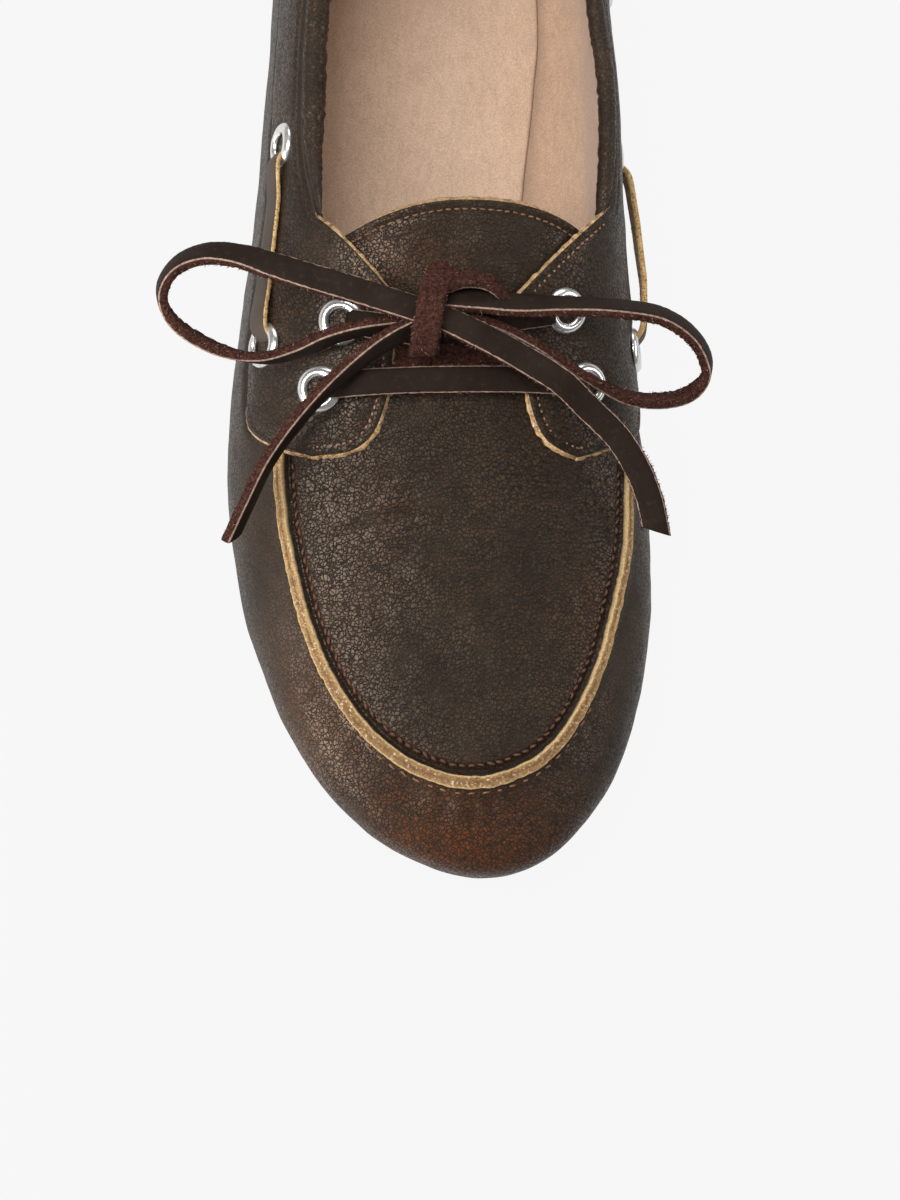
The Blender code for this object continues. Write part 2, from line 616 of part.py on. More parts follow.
# The bow, by hand: place across, distance from the toe, height, and the way that the
# lace's outer face looks.
BOW = {
    "lace_knot": [(-3.5, 117.8, 65.7, 0.1, -0.45, -0.9), (-6.3, 115.4, 67.8, 0, -0.25, -1), (-7.6, 111.4, 68.6, 0, -0.05, -1),
                  (-8.3, 107.2, 68.4, 0, 0.15, -1), (-8.7, 103.8, 66.7, 0, 0.5, -0.9), (-8.5, 101.8, 63.7, 0, 1, -0.4)],
    "lace_loop_lateral": [(-10.8, 109.0, 65.4, 0, 0, 1), (-14.6, 110.0, 65.3, -0.05, -0.05, 1),
                          (-24.0, 112.6, 65.1, -0.1, -0.05, 1), (-33.7, 115.3, 64.3, -0.12, 0, 0.98),
                          (-40.6, 117.7, 62.8, -0.2, 0.15, 0.95), (-47.0, 120.3, 60.4, -0.25, 0.4, 0.87),
                          (-53.5, 121.7, 57.3, -0.5, 0.5, 0.7), (-59.0, 120.2, 54.3, -0.85, 0.35, 0.4),
                          (-62.0, 116.2, 52.0, -1, 0, 0.1), (-61.4, 111.6, 50.4, -0.85, -0.45, -0.3),
                          (-57.4, 107.2, 49.7, -0.5, -0.7, -0.55), (-49.5, 103.1, 50.0, -0.2, -0.8, -0.5),
                          (-41.0, 101.4, 51.2, 0, -0.95, -0.25), (-33.1, 102.8, 54.0, 0.15, -1, -0.05),
                          (-27.4, 104.6, 57.9, 0.2, -1, 0), (-20.4, 105.9, 61.0, 0.1, -1, 0)],
    "lace_loop_medial": [(-1.0, 112.0, 65.2, 0, 0.3, 0.95), (4.8, 111.4, 66.0, 0, 0.4, 0.92),
                         (10.5, 111.2, 66.0, 0, 0.45, 0.9), (19.9, 111.8, 65.5, 0, 0.6, 0.8),
                         (30.0, 112.8, 63.8, 0.05, 0.65, 0.76), (40.6, 113.4, 61.0, 0.25, 0.6, 0.75),
                         (46.5, 112.2, 59.0, 0.5, 0.5, 0.7), (50.8, 109.8, 57.0, 0.8, 0.25, 0.55),
                         (53.5, 106.5, 55.0, 0.9, -0.1, 0.35), (54.0, 103.3, 53.5, 0.85, -0.5, 0),
                         (52.0, 100.3, 52.6, 0.5, -0.75, -0.4), (48.6, 98.2, 52.1, 0.2, -0.8, -0.6),
                         (43.0, 97.0, 52.1, 0, -0.78, -0.62), (37.2, 97.0, 53.0, -0.05, -0.78, -0.62),
                         (31.9, 98.2, 54.6, -0.05, -0.8, -0.6), (26.5, 99.7, 57.2, -0.1, -0.85, -0.5),
                         (19.8, 102.3, 59.4, -0.1, -0.95, -0.3), (13.5, 104.7, 61.0, -0.1, -1, -0.1)],
    "lace_end_lateral": [(-15.0, 103.9, 61.6, 0.5, -0.8, 0.35), (-20.5, 100.2, 59.8, 0.65, -0.7, 0.3),
                         (-27.5, 94.2, 56.0, 0.75, -0.65, 0.25), (-33.5, 87.8, 50.6, 0.8, -0.55, 0.25),
                         (-38.6, 80.6, 45.8, 0.85, -0.45, 0.25), (-42.0, 73.3, 41.4, 0.9, -0.4, 0.3),
                         (-45.0, 66.3, 37.6, 0.9, -0.4, 0.3)],
    "lace_end_medial": [(2.4, 104.3, 65.3, -0.05, -0.1, 1), (11.0, 101.1, 63.4, -0.15, -0.2, 0.97),
                        (20.7, 96.7, 61.2, -0.25, -0.3, 0.92), (27.4, 92.4, 57.8, -0.3, -0.3, 0.9),
                        (34.5, 87.6, 54.0, -0.3, -0.3, 0.9), (39.5, 82.6, 49.8, -0.3, -0.35, 0.9),
                        (42.9, 77.4, 45.9, -0.28, -0.38, 0.9), (45.2, 71.6, 42.0, -0.25, -0.4, 0.9)],
}


def curve_through(rows, cuts):
    """A smooth curve through a short table of points and directions."""
    rows = np.array(rows, float)
    ends = [2 * rows[0] - rows[1], *rows, 2 * rows[-1] - rows[-2]]
    out = []
    for i in range(1, len(ends) - 2):
        p0, p1, p2, p3 = ends[i - 1 : i + 3]
        for t in np.linspace(0, 1, cuts, endpoint=False):
            out.append(0.5 * (2 * p1 + (p2 - p0) * t + (2 * p0 - 5 * p1 + 4 * p2 - p3) * t * t
                              + (3 * p1 - p0 - 3 * p2 + p3) * t**3))
    out.append(rows[-1])
    return np.array(out)


def make_bow():
    made = []
    for name, rows in BOW.items():
        spots = []
        for x, at, z, *face in curve_through(rows, 2):
            spots.append(((x, at - LENGTH / 2, z), face))
        made.append(strap(name, spots, "lace"))
    return made


def lift_over_band():
    """How far a lace's middle stands off the surface where it clears an eyelet."""
    return BAND_LIFT + OVERLAY + 0.45 + EYELET_HIGH + GAP + LACE_THICK / 2 + 0.2


def across_the_front(start, end):
    """Spots of a strap laid over the instep between two places (across, from toe)."""
    lift = lift_over_band()
    spots = []
    for part in np.linspace(0, 1, 12):
        out = start[0] + (end[0] - start[0]) * part
        turn = turn_of(start[1] + (end[1] - start[1]) * part, -1 if out < 0 else 1)
        p, n = surface(turn, arc_at_out(turn, max(abs(out), 0.4)))
        spots.append((p + n * lift, n))
    return spots


def make_front_laces():
    """The bar between the lower eyelets and the crossing below the knot, joined."""
    lower = [(-FRONT_OUT["lateral"][0], EYELETS["lateral"][0]), (FRONT_OUT["medial"][0], EYELETS["medial"][0])]
    upper = [(-FRONT_OUT["lateral"][1], EYELETS["lateral"][1]), (FRONT_OUT["medial"][1], EYELETS["medial"][1])]
    bar = strap("lace_bars", across_the_front(*lower), "lace")
    cutters = [strap("strand_lateral", across_the_front(upper[0], (4.0, 103.6)), "lace"),
               strap("strand_medial", across_the_front(upper[1], (-7.0, 103.9)), "lace")]
    for strand in cutters:
        join = bar.modifiers.new("join", "BOOLEAN")
        join.operation = "UNION"
        join.solver = "EXACT"
        join.object = strand
    apply_modifiers(bar)
    for strand in cutters:
        bpy.data.objects.remove(strand, do_unlink=True)
    return bar


def clear_scene():
    for old in list(bpy.data.objects):
        bpy.data.objects.remove(old, do_unlink=True)


def make_material(name, colour, rough, metal):
    material = bpy.data.materials.new(name)
    material.use_nodes = True
    shader = material.node_tree.nodes["Principled BSDF"]
    shader.inputs["Base Color"].default_value = (*colour, 1)
    shader.inputs["Roughness"].default_value = rough
    shader.inputs["Metallic"].default_value = metal
    return material


clear_scene()
SHOE = bpy.data.collections.new("loafer")
bpy.context.scene.collection.children.link(SHOE)

make_sole()
make_upper()
make_tongue()
make_band()
make_seam()
make_collar_roll()
make_eyelets()
make_side_laces()
make_front_laces()
make_bow()
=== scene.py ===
"""Looks of the lace-up moccasin flat: every visible piece, its materials, light and camera.

The leather pieces are laid on the same ribbed surface as the CAD solids, in millimetres,
and moved into the frame when their meshes are made. A rib is named by its turn: 0 at the
back of the heel, 1 to 2 along the sides, 3 at the toe tip, negative on the lateral side.
"""

import math
import random

import bmesh
import bpy
import numpy as np
from mathutils import Matrix, Vector, noise


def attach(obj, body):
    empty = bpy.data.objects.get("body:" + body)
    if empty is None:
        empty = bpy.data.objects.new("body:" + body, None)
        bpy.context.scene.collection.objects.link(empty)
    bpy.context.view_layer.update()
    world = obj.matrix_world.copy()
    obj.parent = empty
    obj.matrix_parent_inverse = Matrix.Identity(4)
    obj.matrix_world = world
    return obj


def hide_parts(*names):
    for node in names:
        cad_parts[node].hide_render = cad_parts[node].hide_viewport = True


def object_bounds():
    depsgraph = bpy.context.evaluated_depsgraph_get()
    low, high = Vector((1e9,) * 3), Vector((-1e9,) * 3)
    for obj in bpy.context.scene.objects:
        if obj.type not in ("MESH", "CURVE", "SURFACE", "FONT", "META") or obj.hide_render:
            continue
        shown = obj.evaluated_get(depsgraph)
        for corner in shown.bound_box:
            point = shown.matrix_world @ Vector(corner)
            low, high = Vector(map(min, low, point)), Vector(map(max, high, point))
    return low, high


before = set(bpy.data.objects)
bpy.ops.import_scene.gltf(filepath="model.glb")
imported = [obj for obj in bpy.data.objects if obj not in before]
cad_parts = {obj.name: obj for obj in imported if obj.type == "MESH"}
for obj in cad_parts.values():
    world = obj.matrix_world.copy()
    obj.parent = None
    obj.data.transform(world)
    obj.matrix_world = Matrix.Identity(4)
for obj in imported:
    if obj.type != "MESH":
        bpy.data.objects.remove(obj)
CAD_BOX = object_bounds()

# ---- sizes of the shoe, in millimetres, as in the CAD ----
LENGTH = 255.0
PLACE = (-2.5, -1.05)
TOE_FAN = 64.0
HEEL_FAN = 223.0
WALL = 1.5
SOLE = 4.7
INSOLE = 2.2
LACE_WIDTH = 5.6

OUTLINE = {
    "from_toe": [1.4, 7, 17, 30, 45, 62, 88, 115, 145, 185, 215, 235, 249],
    "lateral": [2.8, -9.3, -20.1, -28.8, -35.2, -40, -43.3, -42.0, -38.8, -36.4, -34.4, -29, -16],
    "medial": [18.8, 28.4, 36.9, 43.3, 47.2, 48.9, 47.9, 43.3, 38.2, 36.4, 34.3, 28.8, 17],
}
TOE_TIP = 10.0
HEEL_TIP = 0.8
SPINE = {"from_toe": [0, 64, 100, 128, 160, 223, 255], "across": [9, 2.2, -1, -2.4, -2, 0, 0]}
# How square a rib's section is above its widest place; 2 would be an ellipse.
SHOULDER = {"from_toe": [0, 64, 115, 145, 160, 190, 255],
            "lateral": [3.4, 2.5, 2.5, 2.23, 2.2, 2.2, 2.2],
            "medial": [3.4, 2.5, 2.4, 2.95, 2.7, 2.05, 2.3]}
RIDGE = {
    "from_toe": [0, 20, 42, 64, 88, 105, 120, 133, 145, 160, 200, 255],
    "high": [31, 33.5, 36.5, 40.5, 47, 53, 59.5, 66.5, 74, 81, 85, 85],
}
LOWER = {
    "from_toe": [0, 20, 42, 58, 96, 115, 145, 185, 197, 255],
    "foot": [11.5, 8, 5.8, 5, 5, 5.8, 8.2, 11.4, 12, 12],
    "wide_lateral": [20.5, 17.5, 15.5, 14.5, 14.5, 15, 16.5, 19, 20, 24],
    "wide_medial": [20.5, 17.5, 16, 16, 17, 20, 25, 26, 26, 26],
    "inset_lateral": [7, 7, 7, 7, 7.5, 8, 8, 6.5, 6, 5.5],
    "inset_medial": [7, 7, 7.5, 8, 9, 11, 13, 9, 7.5, 5.5],
}
THROAT = {"from_toe": [101, 103, 106, 111, 115], "out": [0, 6, 10, 12.6, 13.5]}
COLLAR = {
    "from_toe": [126, 135, 150, 170, 190, 215, 240, 255],
    "lateral": [55.5, 54.5, 53, 53, 54.5, 58, 62, 63],
    "medial": [56.5, 56.5, 56, 56.5, 57.5, 60, 62.5, 63],
}
STAY_FRONT = {"lateral": 84.0, "medial": 86.5}
STAY_EDGE = {
    "from_toe": [84, 84.3, 85, 86, 87.4, 89, 91, 95, 99, 103, 108, 112, 114.5],
    "lateral": [26, 22.8, 20.2, 18.5, 16.9, 15.8, 14.8, 13.4, 12.6, 12.1, 11.6, 11.3, 11.4],
    "medial": [30, 29.5, 29, 28.5, 23.8, 20.8, 19.2, 17.5, 16.6, 15.8, 14.4, 13.3, 13.1],
}
# The straight edges that rise from the tongue to the collar's front corners:
# distance from the toe and from the spine, at the foot and at the corner.
CORNER = {"lateral": ((115.2, 11.6), (132.6, 27.0)), "medial": ((115.8, 13.2), (138.0, 34.2))}
BAND_FOOT = {
    "from_toe": [84, 84.6, 86, 88, 90, 94, 99, 106, 116, 126, 150, 200, 255],
    "lateral": [40.8, 40.2, 38.2, 36, 33.8, 31, 30.3, 30.5, 31.5, 32.5, 33.5, 33.5, 32.8],
    "medial": [44, 43.8, 43.3, 42, 40.5, 36, 32, 30.5, 30.3, 30.8, 31.5, 31.7, 32.8],
}
SEAM = {"turn": [1.87, 1.95, 2.0, 2.2, 2.35, 2.5, 2.6, 2.7, 2.8, 2.9, 3.0],
        "lateral": [8.3, 8.25, 8.6, 8.5, 8.8, 9.8, 10.8, 12.1, 13.9, 15.5, 17.5],
        "medial": [8.0, 8.7, 9.6, 11.4, 12.7, 14.2, 15.2, 16.1, 17.1, 17.9, 17.5]}
SEAM_WIDE = {"turn": [1.87, 2.25, 2.6, 3.0], "lateral": [2.1, 2.4, 2.7, 2.8],
             "medial": [2.0, 2.1, 2.4, 2.8]}
SEAM_ENDS = (1.8625, 4.151)
EYELETS = {
    "name": ["front_lower", "front_upper", "side_1", "side_2", "side_3", "side_4"],
    "lateral": [97.6, 110.7, 109.3, 152.8, 197, 232],
    "medial": [101.7, 115.7, 115.5, 158, 198, 232],
}
FRONT_OUT = {"lateral": [26.5, 22.2], "medial": [29.8, 25.0]}
SIDE_HIGH = {"lateral": [38.2, 45, 45, 45.5], "medial": [33.5, 38.5, 42, 44.5]}
# How far a side lace bows off the wall between its two eyelets.
SIDE_BOW = {"lateral": 0.4, "medial": 1.8}
BAND_THICK = 1.35

rng = random.Random(11)


# ---- small helpers ----
def read(table, name, at):
    """A smooth value from a table that never overshoots its rows."""
    xs = np.array(table["turn" if "turn" in table else "from_toe"], float)
    ys = np.array(table[name], float)
    step = np.diff(xs)
    rise = np.diff(ys) / step
    slope = np.zeros(len(xs))
    slope[0], slope[-1] = rise[0], rise[-1]
    for i in range(1, len(xs) - 1):
        if rise[i - 1] * rise[i] > 0:
            slope[i] = 2 * rise[i - 1] * rise[i] / (rise[i - 1] + rise[i])
    at = np.clip(at, xs[0], xs[-1])
    i = np.clip(np.searchsorted(xs, at) - 1, 0, len(step) - 1)
    s = (at - xs[i]) / step[i]
    start = (2 * s**3 - 3 * s**2 + 1) * ys[i] + (s**3 - 2 * s**2 + s) * step[i] * slope[i]
    return start + (3 * s**2 - 2 * s**3) * ys[i + 1] + (s**3 - s**2) * step[i] * slope[i + 1]


def ease(x, low, high):
    """A smooth step from 0 at low to 1 at high."""
    s = np.clip((x - low) / (high - low), 0.0, 1.0)
    return s * s * (3 - 2 * s)


def bell(x, width, power=2):
    """1 in the middle, falling away to nothing over a few widths."""
    return np.exp(-((x / width) ** power))


def rumple(*at):
    """Smooth noise at one place, from -1 to 1."""
    return noise.noise(Vector(at))


def wrinkle(points, scale, seed):
    """Smooth noise at each point, from -1 to 1; scale is the size of its bumps."""
    flat = points.reshape(-1, 3) / scale
    values = [rumple(x + seed, y - seed, z + 2 * seed) for x, y, z in flat]
    return np.array(values).reshape(points.shape[:-1])


def unit(v):
    """Vectors of length 1, along the last axis."""
    return v / np.maximum(np.linalg.norm(v, axis=-1, keepdims=True), 1e-9)


def arc_lengths(line):
    """The length of a line up to each of its points."""
    return np.concatenate([[0], np.cumsum(np.linalg.norm(np.diff(line, axis=0), axis=1))])


def smooth_rows(rows, times):
    """Rows evened out with their neighbours; both ends stay."""
    rows = np.array(rows, float)
    for _ in range(times):
        rows[1:-1] = (rows[:-2] + 2 * rows[1:-1] + rows[2:]) / 4
    return rows


def from_toe(points):
    return points[..., 1] + LENGTH / 2


def side_name(turn):
    return "lateral" if turn < 0 else "medial"


def around(steps):
    """Angles all the way round."""
    return [2 * math.pi * step / steps for step in range(steps)]


# ---- the section surface ----
def closed_curve(points, cuts=16):
    """A centripetal curve through a closed loop of points."""
    points = np.array(points, float)
    count = len(points)
    out = []
    for i in range(count):
        p = [points[(i + j) % count] for j in (-1, 0, 1, 2)]
        t = [0.0]
        for a, b in zip(p, p[1:]):
            t.append(t[-1] + math.sqrt(np.linalg.norm(b - a)))
        for x in np.linspace(t[1], t[2], cuts, endpoint=False):
            q = p
            for span in (1, 2):
                q = [((t[j + span] - x) * q[j] + (x - t[j]) * q[j + 1]) / (t[j + span] - t[j])
                     for j in range(len(q) - 1)]
            out.append(((t[2] - x) * q[0] + (x - t[1]) * q[1]) / (t[2] - t[1]))
    return np.array(out)


def make_outline():
    rows = list(zip(OUTLINE["from_toe"], OUTLINE["lateral"], OUTLINE["medial"]))
    points = [(TOE_TIP, 0)] + [(medial, at) for at, _, medial in rows] + [(HEEL_TIP, LENGTH)]
    points += [(lateral, at) for at, lateral, _ in reversed(rows)]
    return closed_curve([(x, at - LENGTH / 2) for x, at in points])


EDGE = make_outline()


def reach(start, way):
    """How far the outline is from a point inside it, along a direction."""
    a = EDGE - start
    b = np.roll(EDGE, -1, axis=0) - start
    across = np.array([-way[1], way[0]])
    side_a, side_b = a @ across, b @ across
    far = 0.0
    for i in np.nonzero(side_a * side_b <= 0)[0]:
        if side_a[i] != side_b[i]:
            cross = a[i] + (b[i] - a[i]) * side_a[i] / (side_a[i] - side_b[i])
            far = max(far, float(cross @ way))
    return far


RIBS = {}
LOW_STEPS, HIGH_STEPS = 40, 240  # points of a rib below and above its widest place
LOW_BEND = 0.9  # how square the rib is below its widest place; SHOULDER says it above


def rib(turn):
    """The rib at a turn: its points, arc lengths, and distances from the spine."""
    turn = round(float(turn), 5)
    if turn in RIBS:
        return RIBS[turn]
    side = -1.0 if turn < 0 else 1.0
    k = abs(turn)
    at = TOE_FAN if k >= 2 else HEEL_FAN if k <= 1 else HEEL_FAN + (TOE_FAN - HEEL_FAN) * (k - 1)
    start = np.array([float(read(SPINE, "across", at)), at - LENGTH / 2])
    if k <= 1:
        way = np.array([side * math.sin(k * math.pi / 2), math.cos(k * math.pi / 2)])
    elif k <= 2:
        way = np.array([side, 0.0])
    else:
        to_tip = math.atan2(TOE_TIP - start[0], start[1] + LENGTH / 2)
        bend = side * (3 - k) * math.pi / 2 + to_tip * (k - 2)
        way = np.array([math.sin(bend), -math.cos(bend)])
    wide = reach(start, way)
    at = start[1] + way[1] * wide + LENGTH / 2
    medial = 0.5 * (1 + side * abs(way[0]))

    def blend(table, key, place):
        """A value between the lateral and the medial one, by the rib's direction."""
        lateral_value = read(table, key + "lateral", place)
        return lateral_value * (1 - medial) + read(table, key + "medial", place) * medial

    high, inset = blend(LOWER, "wide_", at), blend(LOWER, "inset_", at)
    foot = float(read(LOWER, "foot", start[1] + way[1] * (wide - inset) + LENGTH / 2))
    bend = np.linspace(0, math.pi / 2, LOW_STEPS, endpoint=False)
    out_low = wide - inset * (1 - np.sin(bend) ** LOW_BEND)
    z_low = high - (high - foot) * np.cos(bend) ** LOW_BEND
    shoulder = blend(SHOULDER, "", at if k <= 2 else TOE_FAN * (3 - k))
    out = np.cos(np.linspace(0, math.pi / 2, HIGH_STEPS)) ** (2 / shoulder)
    out[-1] = 0
    top = read(RIDGE, "high", start[1] + way[1] * out * wide + LENGTH / 2)
    z_top = high + (top - high) * (1 - out**shoulder) ** (1 / min(shoulder, 2.5))
    out = np.concatenate([out_low, out * wide])
    points = np.stack([start[0] + way[0] * out, start[1] + way[1] * out,
                       np.concatenate([z_low, z_top])], axis=1)
    RIBS[turn] = {"points": points, "arc": arc_lengths(points), "out": out, "wide": wide,
                  "start": start, "way": way, "inset": inset, "bulge": LOW_STEPS}
    return RIBS[turn]


def arc_at_height(turn, high):
    r = rib(turn)
    return float(np.interp(high, r["points"][:, 2], r["arc"]))


def arc_at_out(turn, out):
    r = rib(turn)
    first = r["bulge"]
    return float(np.interp(-out, -r["out"][first:], r["arc"][first:]))


def on_rib(turn, arc):
    r = rib(turn)
    return np.stack([np.interp(arc, r["arc"], r["points"][:, i]) for i in range(3)], axis=-1)


def turn_of(at, side=1):
    """The turn of a straight rib, from its distance from the toe."""
    return side * (1 + (HEEL_FAN - at) / (HEEL_FAN - TOE_FAN))


def station(turn):
    """The distance from the toe at which a rib meets the outline."""
    r = rib(turn)
    return r["start"][1] + r["way"][1] * r["wide"] + LENGTH / 2


def foot_point(turn, out):
    """The place across and along of the rib's foot, moved outwards."""
    r = rib(turn)
    return r["start"] + r["way"] * (r["wide"] - r["inset"] + out)


def corner_line(turn, at):
    """How far out the straight edge of the stay lies, behind the throat."""
    (low_at, low_out), (high_at, high_out) = CORNER[side_name(turn)]
    if at < low_at:
        return 0.0
    return low_out + (high_out - low_out) * (at - low_at) / (high_at - low_at)


# Behind COLLAR_ONLY the collar alone ends the leather; up to JOIN the throat or stay does.
JOIN, COLLAR_ONLY = 121.0, 140.0


def upper_end(turn, below_collar, front):
    """Arc length at which a layer ends: near the collar behind, as far out as front says before."""
    at = station(turn)
    collar = arc_at_height(turn, float(read(COLLAR, side_name(turn), at))) - below_collar
    if at >= COLLAR_ONLY:
        return collar
    arc = arc_at_out(turn, front(at))
    return max(collar, arc) if at > JOIN else arc


def opening_arc(turn):
    """Arc length at which the upper ends: the throat in front, the collar behind."""
    if abs(turn) >= turn_of(THROAT["from_toe"][0]):
        return rib(turn)["arc"][-1]
    return upper_end(turn, 0.0, lambda at: max(float(read(THROAT, "out", at)),
                                               corner_line(turn, at) + 0.8))


def band_low(turn):
    return arc_at_height(turn, float(read(BAND_FOOT, side_name(turn), station(turn))))


def band_high(turn):
    return upper_end(turn, 0.6, lambda at: corner_line(turn, at)
                     or float(read(STAY_EDGE, side_name(turn), at)))


def seam_half(turn):
    return float(read(SEAM_WIDE, side_name(turn), abs(turn))) / 2


def seam_arc(turn):
    """Arc length of the raised seam's middle."""
    return arc_at_out(turn, rib(turn)["wide"] - float(read(SEAM, side_name(turn), abs(turn))))


def foot_height(at):
    return float(read(LOWER, "foot", at))


def lay(turns, arcs, closed=False):
    """Points and outward normals of a grid: one row of arc lengths for each rib."""
    points = np.array([on_rib(turn, row) for turn, row in zip(turns, arcs)])
    if closed:
        along = np.roll(points, -1, axis=0) - np.roll(points, 1, axis=0)
    else:
        along = np.gradient(points, axis=0)
    normals = np.cross(along, np.gradient(points, axis=1))
    flat = np.linalg.norm(normals, axis=2) < 1e-6
    normals = unit(normals)
    starts = np.array([rib(turn)["start"] for turn in turns])
    outward = points[..., :2] - starts[:, None, :]
    normals[flat] = (0, 0, 1)
    if (normals[..., :2] * outward).sum() + normals[..., 2].sum() < 0:
        normals = np.where(flat[..., None], normals, -normals)
    return points, normals


def surface(turn, arc):
    """A point of the surface and its outward normal."""
    step, reach_up = 0.004, 0.6
    here = on_rib(turn, arc)
    up = on_rib(turn, arc + reach_up) - on_rib(turn, arc - reach_up)
    share = arc / rib(turn)["arc"][-1]
    ahead, behind = (on_rib(turn + move, share * rib(turn + move)["arc"][-1])
                     for move in (step, -step))
    normal = unit(np.cross(up, ahead - behind))
    outward = here[:2] - rib(turn)["start"]
    if normal[:2] @ outward + normal[2] * 10 < 0:
        normal = -normal
    return here, normal


# ---- meshes ----
def place_object(name, data):
    obj = bpy.data.objects.new(name, data)
    bpy.context.scene.collection.objects.link(obj)
    return obj


def add_mesh(name, verts, faces, materials, stands_for=(), face_slots=None,
             marks=None, weld=0.00001):
    """Makes a piece from points in millimetres; marks are named values per point."""
    placed = (np.asarray(verts, float) + (*PLACE, 0)) / 1000
    mesh = bpy.data.meshes.new(name)
    mesh.from_pydata(placed.tolist(), [], [tuple(int(i) for i in f) for f in faces])
    for material in materials:
        mesh.materials.append(material)
    if face_slots is not None:
        mesh.polygons.foreach_set("material_index", np.asarray(face_slots, np.int32))
    for mark, values in (marks or {}).items():
        layer = mesh.attributes.new(mark, "FLOAT", "POINT")
        layer.data.foreach_set("value", np.asarray(values, np.float32).ravel())
    obj = place_object(name, mesh)
    bm = bmesh.new()
    bm.from_mesh(mesh)
    bmesh.ops.remove_doubles(bm, verts=bm.verts, dist=weld)
    bmesh.ops.dissolve_degenerate(bm, edges=bm.edges, dist=0.000001)
    bmesh.ops.recalc_face_normals(bm, faces=bm.faces)
    bm.to_mesh(mesh)
    bm.free()
    mesh.shade_smooth()
    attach(obj, "root")
    if stands_for:
        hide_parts(*stands_for)
    return obj


def grid_faces(rows, cols, closed_rows=False, closed_cols=False):
    faces = []
    for i in range(rows if closed_rows else rows - 1):
        a, b = i * cols, (i + 1) % rows * cols
        for j in range(cols if closed_cols else cols - 1):
            k = (j + 1) % cols
            faces.append((a + j, a + k, b + k, b + j))
    return faces


def bar_faces(rows, cols, closed_cols=True):
    """Faces of a bar: a grid round its rows, and a cap at each end."""
    caps = [tuple(range(cols)), tuple(range((rows - 1) * cols, rows * cols))]
    return grid_faces(rows, cols, closed_cols=closed_cols) + caps


def leather_marks(shape, rust=0.0, wear_and_highlight=0.0, painted_shade=0.0, smooth=0.0):
    """The four marks that the leather's material reads, one value per point."""
    given = {"rust": rust, "wear_and_highlight": wear_and_highlight, "painted_shade": painted_shade, "smooth": smooth}
    return {key: np.zeros(shape) + value for key, value in given.items()}


class Bundle:
    """Many small closed shapes gathered into one mesh."""

    def __init__(self):
        self.verts, self.faces, self.slots = [], [], []

    def add(self, verts, faces, slot=0):
        base = len(self.verts)
        self.verts += list(verts)
        self.faces += [tuple(base + i for i in f) for f in faces]
        self.slots += [slot] * len(faces)


# ---- materials ----
class Graph:
    """A short way to write a material's nodes."""

    def __init__(self, name, rough, **settings):
        self.material = bpy.data.materials.new(name)
        self.material.use_nodes = True
        self.tree = self.material.node_tree
        self.shader = self.tree.nodes["Principled BSDF"]
        self.shader.inputs["Roughness"].default_value = rough
        for key, value in settings.items():
            self.shader.inputs[key.replace("_", " ")].default_value = value
        self.where = self.add("TexCoord", out="Object")

    def fill(self, node, inputs):
        """Links sockets to a node's inputs, and sets plain values."""
        for key, value in inputs.items():
            if isinstance(value, bpy.types.NodeSocket):
                self.tree.links.new(value, node.inputs[key])
            else:
                node.inputs[key].default_value = value

    def add(self, kind, inputs=None, out=0, **settings):
        node = self.tree.nodes.new("ShaderNode" + kind)
        for key, value in settings.items():
            setattr(node, key, value)
        self.fill(node, inputs or {})
        return node.outputs[out]

    def noise(self, scale, detail=3.0, rough=0.5, where=None):
        return self.add("TexNoise", {"Vector": where or self.where, "Scale": scale,
                                     "Detail": detail, "Roughness": rough})

    def cells(self, scale, feature="DISTANCE_TO_EDGE", where=None, out=0):
        return self.add("TexVoronoi", {"Vector": where or self.where, "Scale": scale}, out=out,
                        feature=feature)

    def shaken(self, scale, amount, stretch=(1, 1, 1)):
        """Object coordinates pushed about by noise; amount in metres."""
        push = self.add("TexNoise", {"Vector": self.where, "Scale": scale, "Detail": 2.0},
                        out="Color")
        push = self.add("VectorMath", {0: push, 1: (0.5, 0.5, 0.5)}, operation="SUBTRACT")
        push = self.add("VectorMath", {0: push, "Scale": amount}, operation="SCALE")
        moved = self.add("VectorMath", {0: self.where, 1: push}, operation="ADD")
        return self.add("VectorMath", {0: moved, 1: stretch}, operation="MULTIPLY")

    def range(self, value, low, high, to_low=0.0, to_high=1.0):
        return self.add("MapRange", {"Value": value, "From Min": low, "From Max": high,
                                     "To Min": to_low, "To Max": to_high})

    def spots(self, scale, detail, rough, low, high, to_low=0.0, to_high=1.0):
        """Noise, with the range from low to high stretched to another."""
        return self.range(self.noise(scale, detail, rough), low, high, to_low, to_high)

    def math(self, operation, a, b=0.0):
        return self.add("Math", {0: a, 1: b}, operation=operation)

    def times(self, a, b):
        return self.math("MULTIPLY", a, b)

    def total(self, first, *parts):
        """A sum; each part may be a value with its weight."""
        for part in parts:
            part = self.times(*part) if isinstance(part, tuple) else part
            first = self.math("ADD", first, part)
        return first

    def mix(self, factor, a, b, blend="MIX"):
        a, b = ((*c, 1.0) if isinstance(c, tuple) else c for c in (a, b))
        node = self.tree.nodes.new("ShaderNodeMix")
        node.data_type = "RGBA"
        node.blend_type = blend
        self.fill(node, {0: factor, 6: a, 7: b})
        return node.outputs[2]

    def coats(self, colour, *coats):
        """Lays coats over a colour, each with how much of it there is."""
        for amount, coat in coats:
            colour = self.mix(amount, colour, coat)
        return colour

    def mark(self, name):
        return self.add("Attribute", out="Fac", attribute_name=name)

    def bump(self, height, distance, strength=1.0, under=None):
        inputs = {"Height": height, "Distance": distance, "Strength": strength}
        if under is not None:
            inputs["Normal"] = under
        return self.add("Bump", inputs)

    def done(self, colour, rough=None, normal=None):
        given = {"Base Color": colour, "Roughness": rough, "Normal": normal}
        self.fill(self.shader, {key: value for key, value in given.items() if value is not None})
        return self.material


